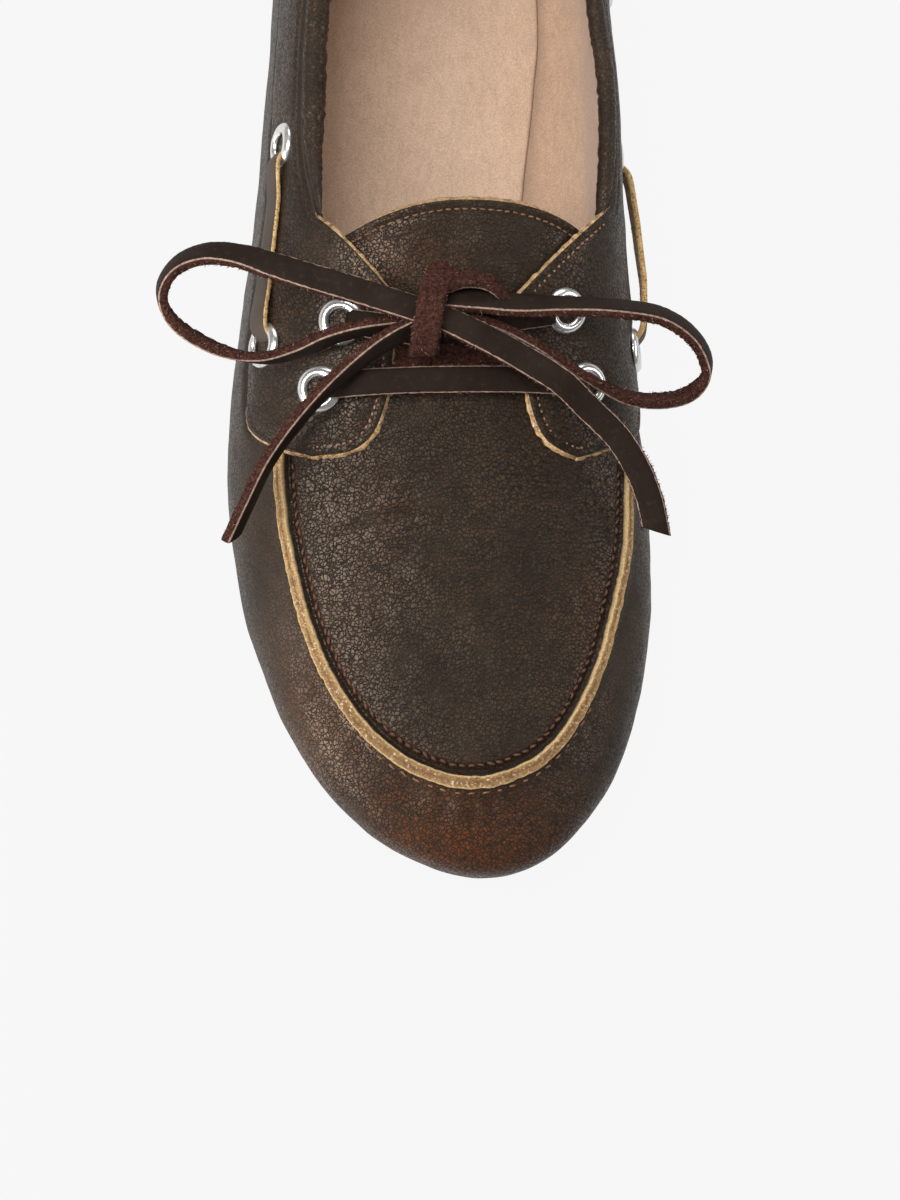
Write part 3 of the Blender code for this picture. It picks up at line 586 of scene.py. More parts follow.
DARK = (0.0074, 0.0045, 0.0028)
BROWN = (0.019, 0.0117, 0.0072)
GREY_BROWN = (0.066, 0.037, 0.021)
RUST = (0.046, 0.012, 0.0021)
REDDISH = (0.034, 0.0145, 0.007)
CRACK = (0.0011, 0.0007, 0.0005)
FOLD_SHADE = (0.006, 0.004, 0.003)
GRAIN_TOP_HIGHLIGHT = (3.1, 3.0, 2.9)  # painted highlight: how much lighter the tops of the grain are made
WARM_SHINE = (1.0, 0.80, 0.64, 1.0)
LACE_SHINE = (1.0, 0.85, 0.74, 1.0)


def leather(name, pebble, depth, gloss):
    """Grained leather; marks: rust (burnish), worn paler patches that also carry a painted
    highlight, painted shade (darker), smooth.

    A pebble's size and the depth of its grain are in metres.
    """
    g = Graph(name, 0.4, Specular_IOR_Level=gloss, Specular_Tint=WARM_SHINE)
    moved = g.shaken(640, 0.0011)
    edges = g.cells(1 / pebble, where=moved)
    centres = g.cells(1 / pebble, "F1", where=moved)
    tint = g.add("SeparateColor", {"Color": g.cells(1 / pebble, "F1", moved, out="Color")})
    fine = g.range(g.cells(2.1 / pebble, where=moved), 0.0, 0.12)
    long_lines = g.range(g.cells(0.36 / pebble, where=g.shaken(300, 0.0026)), 0.0, 0.045)
    height = g.total(g.range(edges, 0.012, 0.105), (centres, -0.30), (fine, 0.06),
                     (long_lines, 0.7), (g.noise(5200, 2.0, 0.6), 0.05),
                     (g.noise(1000, 1.0, 0.5), 0.5))
    strong = g.times(g.range(g.mark("smooth"), 0, 1, 1.0, 0.42),
                     g.spots(150, 3.0, 0.6, 0.32, 0.68, 0.65, 1.2))
    swell = g.bump(g.noise(330, 4.0, 0.6), 0.00018, 0.5)
    normal = g.bump(g.times(height, strong), depth, 1.0, under=swell)
    blotch = g.noise(260, 4.0, 0.65)
    burn = g.times(g.mark("rust"), g.spots(190, 5.0, 0.65, 0.28, 0.70, 0.3, 1.25))
    # Worn paler patches, which are also a painted highlight where the upper's spots sit on the
    # lateral wall and the toe.
    worn_and_highlit = g.times(g.mark("wear_and_highlight"), g.range(blotch, 0.3, 0.7, 0.4, 1.0))
    base = g.coats(g.mix(g.spots(60, 5.0, 0.62, 0.34, 0.66), DARK, BROWN),
                   (g.range(blotch, 0.5, 0.8, 0.0, 0.35), REDDISH), (burn, RUST),
                   (worn_and_highlit, GREY_BROWN))
    # Painted highlight: the tops of the grain are made lighter, each a little different, for their
    # shine; the gaps stay dark.
    top = g.times(g.range(edges, 0.05, 0.20), g.range(tint, 0.0, 1.0, 0.38, 0.95))
    top = g.times(top, g.math("MINIMUM", strong, 1.0))
    lines = g.math("MAXIMUM", g.range(edges, 0.035, 0.17, 1.0, 0.0),
                   g.range(long_lines, 0.0, 1.0, 1.0, 0.0))
    colour = g.coats(base, (top, g.mix(1.0, base, GRAIN_TOP_HIGHLIGHT, "MULTIPLY")),
                     (g.times(lines, g.math("MINIMUM", strong, 0.95)), CRACK),
                     (g.mark("painted_shade"), FOLD_SHADE))
    rough = g.range(g.total(blotch, (lines, 0.9)), 0.3, 1.3, 0.31, 0.62)
    return g.done(colour, rough, normal)


def raw_edge_leather():
    """Cut leather edges: tan, paler along both rims, with a dark fibrous line between."""
    g = Graph("raw_edge", 0.72, Specular_IOR_Level=0.3)
    across = g.mark("across")
    fibre = g.noise(2600, 4.0, 0.7, where=g.shaken(900, 0.0006))
    spots = g.noise(520, 4.0, 0.7)
    tufts = g.noise(1500, 3.0, 0.65)
    middle = g.math("ABSOLUTE", g.total(across, g.range(spots, 0.2, 0.8, -0.35, 0.35)))
    middle = g.range(middle, 0.05, 0.42, 1.0, 0.0)
    rims = g.range(g.math("ABSOLUTE", across), 0.62, 0.9, 0.0, 1.0)
    colour = g.coats(
        g.mix(g.range(fibre, 0.36, 0.64), (0.185, 0.095, 0.033), (0.50, 0.32, 0.135)),
        (g.times(middle, g.range(spots, 0.35, 0.60, 0.35, 0.95)), (0.125, 0.060, 0.022)),
        (g.times(g.mark("toe"), g.range(tufts, 0.40, 0.62, 0.75, 0.2)), (0.150, 0.074, 0.026)),
        (g.range(tufts, 0.58, 0.68, 0.0, 0.8), (0.70, 0.57, 0.42)),
        (g.spots(420, 3.0, 0.7, 0.50, 0.66, 0.0, 0.55), (0.16, 0.082, 0.030)),
        (g.times(rims, g.range(fibre, 0.3, 0.6, 0.2, 0.9)), (0.62, 0.44, 0.215)),
        (g.mark("stain"), (0.05, 0.026, 0.014)))
    return g.done(colour, None, g.bump(g.total(fibre, spots), 0.00035, 0.9))


def gold_edge():
    """The thin cut edge of the stays and tongue, irregular between tan and dark."""
    g = Graph("cut_edge", 0.7, Specular_IOR_Level=0.3)
    fibre = g.noise(2200, 4.0, 0.7)
    colour = g.coats(
        g.mix(g.range(fibre, 0.34, 0.66), (0.33, 0.185, 0.075), (0.60, 0.41, 0.205)),
        (g.spots(750, 3.0, 0.7, 0.45, 0.66, 0.0, 0.9), (0.11, 0.050, 0.024)),
        (g.spots(1400, 2.0, 0.6, 0.60, 0.70, 0.0, 0.6), (0.72, 0.58, 0.43)),
        (g.mark("stain"), (0.035, 0.020, 0.013)))
    return g.done(colour, None, g.bump(fibre, 0.0003, 0.8))


def suede(name, base, shade):
    """Napped leather; marks: painted shade (darker) and rim (paler)."""
    def tone(colour, amount):
        return tuple(min(1.0, c * amount) for c in colour)

    g = Graph(name, 0.95, Specular_IOR_Level=0.15, Sheen_Weight=0.25, Sheen_Roughness=0.5)
    nap = g.noise(2600, 5.0, 0.72)
    streak = g.noise(700, 4.0, 0.7, where=g.shaken(200, 0.002, (1.0, 0.35, 1.0)))
    colour = g.coats(
        g.mix(g.spots(120, 5.0, 0.65, 0.3, 0.7), base, shade),
        (g.range(streak, 0.42, 0.7, 0.0, 0.55), tone(shade, 0.72)),
        (g.range(nap, 0.42, 0.62, 0.0, 0.5), tone(base, 1.3)),
        (g.spots(2300, 3.0, 0.7, 0.38, 0.55, 0.32, 0.0), tone(shade, 0.6)),
        (g.mark("painted_shade"), tone(shade, 0.4)), (g.mark("rim"), tone(base, 1.35)))
    return g.done(colour, None, g.bump(g.total(nap, (streak, 0.8)), 0.0004, 0.7))


def lace_face(name, low, high, gloss):
    """The smooth side of a lace: faintly lined, with small scuffs."""
    g = Graph(name, 0.5, Specular_IOR_Level=gloss, Specular_Tint=LACE_SHINE)
    cloud = g.noise(90, 4.0, 0.6)
    colour = g.coats(g.mix(g.range(cloud, 0.35, 0.65), low, high),
                     (g.spots(600, 4.0, 0.7, 0.55, 0.8, 0.0, 0.4), (0.060, 0.038, 0.029)))
    height = g.total(g.noise(3200, 3.0, 0.6), (g.cells(2400, "F1"), 0.5))
    return g.done(colour, g.range(cloud, 0.3, 0.7, 0.56, 0.70), g.bump(height, 0.00012, 0.7))


def lace_line():
    """The pale line where the lace's smooth side meets its cut edge."""
    g = Graph("lace_line", 0.7, Specular_IOR_Level=0.3)
    spots = g.noise(1300, 3.0, 0.7)
    colour = g.mix(g.range(spots, 0.35, 0.65), (0.15, 0.095, 0.070), (0.36, 0.245, 0.19))
    return g.done(colour, None, g.bump(spots, 0.0002, 0.6))


def lace_flesh():
    """The rough side and cut edges of the lace: reddish fibres."""
    g = Graph("lace_flesh", 0.95, Specular_IOR_Level=0.06)
    nap = g.noise(1900, 5.0, 0.75, where=g.shaken(900, 0.0008))
    curl = g.cells(900, "F1", where=g.shaken(1100, 0.0012))
    colour = g.mix(g.range(nap, 0.36, 0.66), (0.022, 0.0085, 0.0062), (0.175, 0.074, 0.053))
    colour = g.mix(g.range(curl, 0.2, 0.75, 0.0, 0.5), colour, (0.040, 0.015, 0.011))
    return g.done(colour, None, g.bump(g.total(nap, (curl, -0.6)), 0.0011, 1.0))


def dotted_edge():
    """The tan cut edge of the side laces, with fine dark pores."""
    g = Graph("side_lace_edge", 0.65, Specular_IOR_Level=0.3)
    dots = g.cells(1500, "F1", where=g.shaken(900, 0.0005))
    spots = g.noise(900, 3.0, 0.7)
    colour = g.mix(g.range(spots, 0.35, 0.65), (0.36, 0.205, 0.075), (0.60, 0.40, 0.18))
    colour = g.mix(g.range(dots, 0.36, 0.15, 0.0, 0.9), colour, (0.07, 0.032, 0.014))
    return g.done(colour, None, g.bump(g.total(dots, spots), 0.00020, 0.7))


def thread(name, low, high):
    g = Graph(name, 0.6, Specular_IOR_Level=0.35)
    twist = g.add("TexWave", {"Vector": g.where, "Scale": 900.0, "Distortion": 3.0, "Detail": 2.0})
    return g.done(g.mix(g.noise(650, 2.0), low, high), None, g.bump(twist, 0.00012, 0.6))


def nickel():
    g = Graph("nickel", 0.2, Metallic=0.85)
    scratch = g.noise(3000, 4.0, 0.7, where=g.shaken(60, 0.0, (1.0, 0.2, 1.0)))
    colour = g.mix(g.spots(700, 3.0, 0.6, 0.3, 0.7), (0.74, 0.73, 0.71), (0.60, 0.59, 0.57))
    rough = g.range(scratch, 0.3, 0.7, 0.18, 0.30)
    return g.done(colour, rough, g.bump(scratch, 0.00001, 0.4))


def rubber():
    g = Graph("rubber", 0.8, Specular_IOR_Level=0.35)
    speck = g.noise(1500, 3.0, 0.6)
    colour = g.mix(g.spots(70, 4.0, 0.6, 0.35, 0.65), (0.030, 0.022, 0.017), (0.048, 0.034, 0.026))
    return g.done(colour, g.range(speck, 0.3, 0.7, 0.68, 0.9), g.bump(speck, 0.0002, 0.6))


def dark_hole_shadow():
    # Painted shadow: near-black for the inside of the eyelet holes, standing in for the shade
    # within.
    g = Graph("hole_shadow", 0.9)
    return g.done(g.mix(g.noise(900, 2.0), (0.006, 0.0045, 0.004), (0.014, 0.010, 0.008)))


LEATHER = leather("grained_leather", 0.00084, 0.00007, 0.35)
STAY_LEATHER = leather("grained_leather_band", 0.00088, 0.00006, 0.36)
TONGUE_LEATHER = leather("grained_leather_tongue", 0.00080, 0.00008, 0.42)
RAW_EDGE = raw_edge_leather()
CUT_EDGE = gold_edge()
LINING = suede("suede_lining", (0.545, 0.375, 0.262), (0.46, 0.305, 0.208))
FOOTBED = suede("suede_insole", (0.67, 0.485, 0.355), (0.58, 0.405, 0.29))
# A lace's smooth side, the line beside it, and its cut edges and rough side.
LACE_SKIN = [lace_face("lace_face", (0.0135, 0.0084, 0.0062), (0.0210, 0.0135, 0.0100), 0.07),
             lace_line(), lace_flesh()]
SIDE_SKIN = [lace_face("side_lace_face", (0.036, 0.027, 0.021), (0.056, 0.043, 0.034), 0.35),
             dotted_edge(), dotted_edge()]
THREADS = [thread("thread_tan", (0.27, 0.140, 0.066), (0.10, 0.048, 0.024)),
           thread("thread_rust", (0.120, 0.046, 0.024), (0.050, 0.021, 0.012)),
           thread("thread_pale", (0.44, 0.235, 0.145), (0.13, 0.058, 0.034))]
TAN, DARK_RED, PALE = range(3)
NICKEL = nickel()
RUBBER = rubber()
HOLE_SHADOW = dark_hole_shadow()


# ---- the upper ----
def ring_turns(heel, sides, toe):
    """Turns all the way round, from the heel over the lateral side, the toe and back."""
    half = [*np.linspace(0, 1, heel + 1), *np.linspace(1, 2, sides + 1)[1:],
            *np.linspace(2, 3, toe + 1)[1:]]
    return [-k for k in half] + half[-2:0:-1]


# Height of the leather beside the raised seam, by distance inwards from the seam's edges.
SEAM_FOOT = ((-7, 0), (-2.6, 0.08), (-0.5, 0.5), (0.1, 0.75))
SEAM_INSIDE = ((-0.1, 0.2), (0.85, -0.6), (1.7, -0.2), (2.8, 0.5), (6, 0.42), (15, 0))


def seam_relief(turn, inwards, half):
    places = [at - half for at, _ in SEAM_FOOT] + [at + half for at, _ in SEAM_INSIDE]
    table = {"from_toe": places, "high": [high for _, high in SEAM_FOOT + SEAM_INSIDE]}
    return read(table, "high", inwards) * ease(abs(turn), 1.83, 1.862)


# Creases, listed: depth (negative is a trough), width, and places (across, from toe).
PLUG_CREASES = [
    (-0.35, 1.6, [(-24, 66), (-17, 70), (-8, 72)]),
    (-0.30, 1.8, [(-22, 76), (-12, 79), (2, 80)]),
    (0.30, 2.4, [(-20, 71), (-10, 75), (0, 76)]),
    (-0.25, 2.0, [(22, 70), (28, 64), (30, 56)]),
    (-0.25, 1.5, [(6, 88), (14, 84), (22, 80)]),
    (0.22, 3.0, [(-6, 60), (6, 52), (14, 40)]),
    (-0.18, 3.0, [(-12, 52), (-2, 44), (6, 34)]),
]
TONGUE_CREASES = [
    (0.7, 4.0, [(-12, 122), (-6, 118), (0, 117)]),
    (-0.5, 2.6, [(-4, 126), (0, 121), (6, 119)]),
    (-0.4, 2.2, [(10, 124), (14, 118), (16, 112)]),
    (0.4, 3.2, [(5, 127), (10, 121), (12, 115)]),
    (-0.35, 2.0, [(-16, 116), (-11, 112), (-6, 110)]),
]
# Colour spots: across, from toe, size across, size along, strength.
UPPER_RUST = [(9, 5, 15, 9, 0.85), (-6, 10, 12, 9, 0.55), (24, 12, 10, 9, 0.35),
              (-27, 34, 7, 13, 0.4), (-12, 74, 7, 9, 0.16), (31, 56, 6, 10, 0.2)]
# The wear spots are partly a painted highlight, along the lateral wall, the toe and the plug's
# lateral shoulder.
UPPER_WEAR_AND_HIGHLIGHT = [(-4, 96, 9, 4, 0.2), (-23, 25, 9, 9, 0.75), (-32, 46, 5, 14, 0.15),
              (-16, 60, 8, 12, 0.15)]
BAND_RUST = [(-34, 118, 6, 10, 0.12)]
TONGUE_RUST = [(-14, 124, 7, 8, 0.35), (-4, 120, 8, 6, 0.2)]


def crease_height(points, creases):
    """Sum of soft ridges and troughs along short given lines, seen from above."""
    flat = points[..., :2].reshape(-1, 2)
    total = np.zeros(len(flat))
    for depth, width, line in creases:
        line = np.array([(x, at - LENGTH / 2) for x, at in line], float)
        best = np.full(len(flat), 1e9)
        for a, b in zip(line, line[1:]):
            t = np.clip(((flat - a) @ (b - a)) / ((b - a) @ (b - a)), 0, 1)
            best = np.minimum(best, np.linalg.norm(flat - a - t[:, None] * (b - a), axis=1))
        total += depth * bell(best, width)
    return total.reshape(points.shape[:-1])


def glow(points, places):
    """Soft spots of colour, from 0 to 1."""
    total = np.zeros(points.shape[:-1])
    for x, at, wide, deep, strength in places:
        total += strength * bell(points[..., 0] - x, wide) * bell(from_toe(points) - at, deep)
    return np.clip(total, 0, 1)


def make_upper():
    turns = ring_turns(34, 120, 84)
    wall, zone, plug = 36, 40, 34  # rows below the seam, beside it and above it
    arcs, rise, shade, in_plug, halves = [], [], [], [], []
    for turn in turns:
        top, half, at, low = opening_arc(turn), seam_half(turn), station(turn), band_low(turn)
        middle = min(seam_arc(turn), top - half - 7)
        a, b = middle - half - 3.2, middle + half + 5.0
        row = np.concatenate([np.linspace(0, a, wall, endpoint=False),
                              np.linspace(a, b, zone, endpoint=False),
                              np.linspace(b, top, plug + 1)])
        arcs.append(row)
        # The band's lower edge presses a groove into the wall.
        under_band = ease(at, 88, 94)
        below = 0.8 + 1.3 * ease(at, 94, 104) * (turn < 0)
        groove = bell(row - low + below, 1.0) * under_band
        rise.append(seam_relief(turn, row - middle, half) - groove)
        # Painted shade: a dark stripe just below the band's lower edge, where the band shades the
        # wall.
        shade.append(bell(row - low + 1.5, 1.9, 4) * under_band)
        in_plug.append(row - seam_arc(turn))
        halves.append([half])
    arcs, rise, shade, in_plug = (np.array(rows) for rows in (arcs, rise, shade, in_plug))
    points, normals = lay(turns, arcs, closed=True)
    rise += crease_height(points, PLUG_CREASES) * ease(in_plug, 0, 5)
    rise += 0.28 * wrinkle(points, 13.0, 3.0) + 0.10 * wrinkle(points, 4.2, 8.0)
    along = np.array(turns)[:, None]
    # The rolled toe: the leather gathers into small radial pleats below the seam.
    toe = ease(np.abs(along), 2.2, 2.75) * bell(in_plug + 5.5, 3.5)
    rise += 0.22 * toe * np.sin(along * 61 + 2.0 * np.sin(along * 17))
    # Painted shade in the groove just inside the raised seam.
    shade_beside_seam = bell(in_plug - np.array(halves) - 0.75, 0.6) * ease(np.abs(along), 1.85, 1.862)
    smooth = (1 - ease(in_plug, -4, 2)) * (1 - 0.9 * ease(np.abs(along), 2.3, 2.7))
    marks = leather_marks(arcs.shape, glow(points, UPPER_RUST), glow(points, UPPER_WEAR_AND_HIGHLIGHT),
                          shade + 0.7 * shade_beside_seam, smooth)
    placed = points + normals * rise[..., None]
    add_mesh("upper_leather", placed.reshape(-1, 3), grid_faces(*arcs.shape, closed_rows=True),
             [LEATHER], ["upper"], marks=marks)


def make_lining():
    """The suede inside of the upper."""
    turns = ring_turns(30, 110, 40)
    share = np.linspace(0, 1, 34)
    arcs = []
    for turn in turns:
        low = arc_at_height(turn, foot_height(station(turn)) + INSOLE + 8.0)
        arcs.append(low + (opening_arc(turn) + 0.5 - low) * share)
    points, normals = lay(turns, np.array(arcs), closed=True)
    depth = WALL + 0.1 + 0.12 * wrinkle(points, 9.0, 5.0) - (WALL - 0.2) * ease(share, 0.965, 1.0)
    inner = points - normals * depth[..., None]
    # The foot of the lining turns in, down to the footbed's edge.
    foot = []
    for turn, row in zip(turns, inner):
        edge = np.array([*foot_point(turn, -WALL - 1.2),
                         foot_height(station(turn)) + 0.4 + INSOLE * 0.6])
        aim = edge * 0.35 + row[0] * 0.65
        aim[2] = edge[2] + 1.0
        foot.append([edge * (1 - t) ** 2 + 2 * aim * t * (1 - t) + row[0] * t * t
                     for t in np.linspace(0, 1, 8, endpoint=False)])
    inner = np.concatenate([np.array(foot), inner], axis=1)
    n, m = inner.shape[:2]
    painted_shade, rim = np.zeros((n, m)), np.zeros((n, m))
    # Painted shade where the lining turns in to the footbed; the top row is its paler cut edge.
    painted_shade[:, :3] = (0.55, 0.25, 0.05)
    rim[:, -1] = 1.0
    add_mesh("lining", inner.reshape(-1, 3), grid_faces(n, m, closed_rows=True), [LINING],
             marks={"painted_shade": painted_shade, "rim": rim})


# The seam's section, across and up, and its notches: turn, depth and width.
SEAM_SIDE = [(-1.0, 0.5), (-0.96, 0.82), (-0.86, 0.98), (-0.62, 1.0), (-0.3, 0.95), (-0.1, 0.90)]
SEAM_SECTION = [(-1.0, 0.0), *SEAM_SIDE, (0.0, 0.86), *((-u, v) for u, v in reversed(SEAM_SIDE)),
                (1.0, -0.4)]
SEAM_NOTCHES = [(2.46, 0.35, 0.9), (3.02, 0.5, 1.2), (3.13, 0.45, 1.0), (3.4, 0.3, 1.0),
                (2.2, 0.25, 0.8)]
SEAM_HIGH = 1.25
OFF_EDGE = 2.0  # the mark "across" where the leather's grain begins


def signed_toe(turn):
    """Turns that run on past 3 come back on the medial side."""
    return -turn if turn <= 3 else 6 - turn


def make_moc_seam():
    """Two layers of leather standing up as one raw-edged ridge round the toe."""
    count = 420
    verts, across, stain, at_toe = [], [], [], []
    for i, turn in enumerate(np.linspace(*SEAM_ENDS, count)):
        k = signed_toe(turn)
        half, arc = seam_half(k), seam_arc(k)
        shake = rumple(turn * 33, 1.7, 0) * 0.16
        pinch = 1 + 0.10 * rumple(turn * 60, 7.1, 0)
        high = SEAM_HIGH + 0.22 * rumple(turn * 45, 3.3, 0)
        for place, deep, wide in SEAM_NOTCHES:
            dip = deep * bell((turn - place) * 90, wide)
            high -= dip
            pinch -= 0.22 * dip
        ends = min(1.0, i / 4 + 0.3, (count - 1 - i) / 4 + 0.3)
        for u, v in SEAM_SECTION:
            p, n = surface(k, arc + shake + u * half * pinch)
            rough = 0.13 * rumple(turn * 230, u * 3, 5.0) if v > 0.4 else 0
            verts.append(p + n * (0.2 + (high * ends * v if v > 0 else v) + rough))
            across.append(u if v > 0.45 else OFF_EDGE)
            stain.append(0.0 if v > 0.45 else 1.0)
            at_toe.append(float(ease(abs(k), 2.25, 2.6)) if v > 0.7 else 0.3)
    add_mesh("raised_seam", verts, bar_faces(count, len(SEAM_SECTION), closed_cols=False),
             [RAW_EDGE], ["moc_seam"],
             marks={"across": across, "stain": stain, "toe": at_toe})


# ---- leather laid over the upper ----
def boundary(n, m):
    """The closed loop round a grid: low edge, last row, high edge back, first row back."""
    loop = [(i, 0) for i in range(n)] + [(n - 1, j) for j in range(1, m)]
    return loop + [(i, m - 1) for i in range(n - 2, -1, -1)] + [(0, j) for j in range(m - 2, 0, -1)]


def rim_frames(points, normals):
    """Along the boundary: places in the grid, points, normals and the way out of the piece."""
    rows, cols = points.shape[:2]
    loop = boundary(rows, cols)
    p = np.array([points[place] for place in loop])
    n = np.array([normals[place] for place in loop])
    along = np.roll(p, -1, axis=0) - np.roll(p, 1, axis=0)
    for _ in range(2):
        along = (np.roll(along, 1, axis=0) + 2 * along + np.roll(along, -1, axis=0)) / 4
    out = unit(np.cross(along, n))
    inner = np.array([points[min(max(i, 1), rows - 2), min(max(j, 1), cols - 2)] for i, j in loop])
    return loop, p, n, -out if ((p - inner) * out).sum() < 0 else out


RIM_RINGS = ((0.35, 0.18), (0.8, 0.62), (1.0, 1.0))  # share of the rim's width and of its fall
RAGGED = 0.14


def rimmed_patch(name, points, normals, lift, rim, materials, stands_for, marks, stain,
                 bottom=0.05):
    """A leather piece with its cut edge: the top grid and a slanted rim round it.

    Returns the rim's points, normals, ways out and heights.
    """
    n, m = points.shape[:2]
    loop, p, nrm, out = rim_frames(points, normals)
    lifts = np.array([lift[place] for place in loop])
    count = len(loop)
    verts = list((points + normals * lift[..., None]).reshape(-1, 3))
    shake = np.array([rumple(*(q * 1.1)) + 0.6 * rumple(*(q * 3.1)) for q in p])
    wide = rim * (1 + 0.45 * shake)
    faces = grid_faces(n, m)
    slots = [0] * len(faces)
    lower = [i * m + j for i, j in loop]
    for share, drop in RIM_RINGS:
        ring = p + out * (wide * share + RAGGED * shake)[:, None]
        upper = range(len(verts), len(verts) + count)
        verts += list(ring + nrm * (lifts * (1 - drop) + bottom * drop)[:, None])
        for i in range(count):
            j = (i + 1) % count
            faces.append((lower[i], upper[i], upper[j], lower[j]))
            slots.append(1)
        lower = upper
    for key in marks:
        marks[key] = np.concatenate([marks[key].reshape(-1), np.zeros(len(RIM_RINGS) * count)])
    stained = stain(p)
    marks["stain"] = np.concatenate([np.zeros(n * m), *[stained] * len(RIM_RINGS)])
    for (i, j), value in zip(loop, stained):
        marks["stain"][i * m + j] = value
    add_mesh(name, verts, faces, materials, stands_for, face_slots=slots, marks=marks)
    return p, nrm, out, lifts


def heel_turns(step):
    """Turns from the lateral front round the heel to the medial front, close at the tips."""
    def half(front):
        near = [turn_of(front + d) for d in (0, 0.15, 0.35, 0.6, 0.9, 1.3, 1.8, 2.4, 3.1, 4)]
        side = list(np.linspace(near[-1], 1, int((near[-1] - 1) * 159 / step) + 1))[1:]
        return near + side + list(np.linspace(1, 0, int(58 / step) + 1))[1:]
    return [-k for k in half(STAY_FRONT["lateral"])] + half(STAY_FRONT["medial"])[-2::-1]


BAND_EDGE = 0.40  # width of the band's cut edge, and what it gains in front
BAND_EDGE_FRONT = 0.28
TONGUE_EDGE = 0.34
STITCH_INSET = 1.9


def by_side(points, table):
    """A lateral or medial value for each point."""
    return np.where(points[..., 0] < 0, table["lateral"], table["medial"])


def band_stain(p):
    """The cut edge is dark along the band's foot and behind, golden in front."""
    low = ease(from_toe(p), 98, 103) * (1 - ease(p[:, 2], 44, 48))
    corner = by_side(p, {"lateral": CORNER["lateral"][1][0], "medial": CORNER["medial"][1][0] - 1})
    return np.maximum(low * 0.9, ease(from_toe(p) - corner, -0.4, 0.5))


def make_band():
    turns = heel_turns(0.9)
    share = np.linspace(0, 1, 34)
    share = share - 0.055 * np.sin(2 * math.pi * share)  # closer together at both edges
    arcs = np.array([band_low(k) + (band_high(k) - band_low(k)) * share for k in turns])
    points, normals = lay(turns, arcs)
    from_low, from_high = arcs - arcs[:, :1], arcs[:, -1:] - arcs
    at = np.array([station(k) for k in turns])[:, None]
    lateral = np.array(turns)[:, None] < 0
    from_front = at - np.where(lateral, STAY_FRONT["lateral"], STAY_FRONT["medial"])
    edge = np.minimum(np.minimum(from_low, from_high), np.maximum(from_front, 0))
    lift = BAND_THICK * (0.72 + 0.28 * ease(edge, 0.0, 1.4))
    # Sewn down inside the edge, and a little full beyond the stitches.
    lift = lift - 0.34 * bell(edge - STITCH_INSET, 0.55) + 0.28 * ease(edge, 2.2, 7.0)
    # The lateral foot lies closer, and meets the medial one at the heel.
    closer = lateral * ease(at, 94, 102) * (1 - ease(at, 205, 252))
    lift = lift * (1 - 0.68 * closer * (1 - ease(from_low, 0, 5)))
    rear = ease(at, 132, 140)
    lift = lift - 0.55 * rear * bell(from_high, 1.6)
    lift = lift + 0.22 * wrinkle(points, 11.0, 1.0) + 0.10 * wrinkle(points, 3.8, 2.0)
    flat = eyelet_clear(points)
    lift = lift * (1 - flat) + flat * BAND_THICK
    # Painted shade along the top edge behind, where the band tucks under the bead.
    marks = leather_marks(arcs.shape, rust=glow(points, BAND_RUST),
                          painted_shade=0.75 * rear * bell(from_high, 0.9), smooth=0.35 * rear)
    edge_at = from_toe(rim_frames(points, normals)[1])
    rim = BAND_EDGE + BAND_EDGE_FRONT * (1 - ease(edge_at, 94, 104))
    return rimmed_patch("collar_band_leather", points, normals, lift, rim,
                        [STAY_LEATHER, CUT_EDGE], ["collar_band"], marks, band_stain)


REAR_EYELET_TURN = 0.9


def eyelet_turn(side, index):
    """The turn of an eyelet's rib; the last one sits beyond the straight ribs."""
    at = EYELETS[side_name(side)][index]
    return side * REAR_EYELET_TURN if at > HEEL_FAN else turn_of(at, side)


def eyelet_seat(side, index):
    """Centre and normal of an eyelet's place on the band."""
    name, turn = side_name(side), eyelet_turn(side, index)
    if index < len(FRONT_OUT[name]):
        return surface(turn, arc_at_out(turn, FRONT_OUT[name][index]))
    return surface(turn, arc_at_height(turn, SIDE_HIGH[name][index - 2]))


SEATS = {(side, index): eyelet_seat(side, index) for side in (-1, 1) for index in range(6)}


def eyelet_clear(points):
    """1 beside an eyelet, where the leather is pressed flat, and 0 away from it."""
    near = np.zeros(points.shape[:-1])
    for p, _ in SEATS.values():
        near = np.maximum(near, 1 - ease(np.linalg.norm(points - p, axis=-1), 4.6, 6.8))
    return near


TONGUE_START, TONGUE_END = 92.0, 133.9
TONGUE_WIDE = {-1: 23.0, 1: 30.5}
TONGUE_MIDDLE = 9.2  # how far to the medial side the curved end reaches furthest back


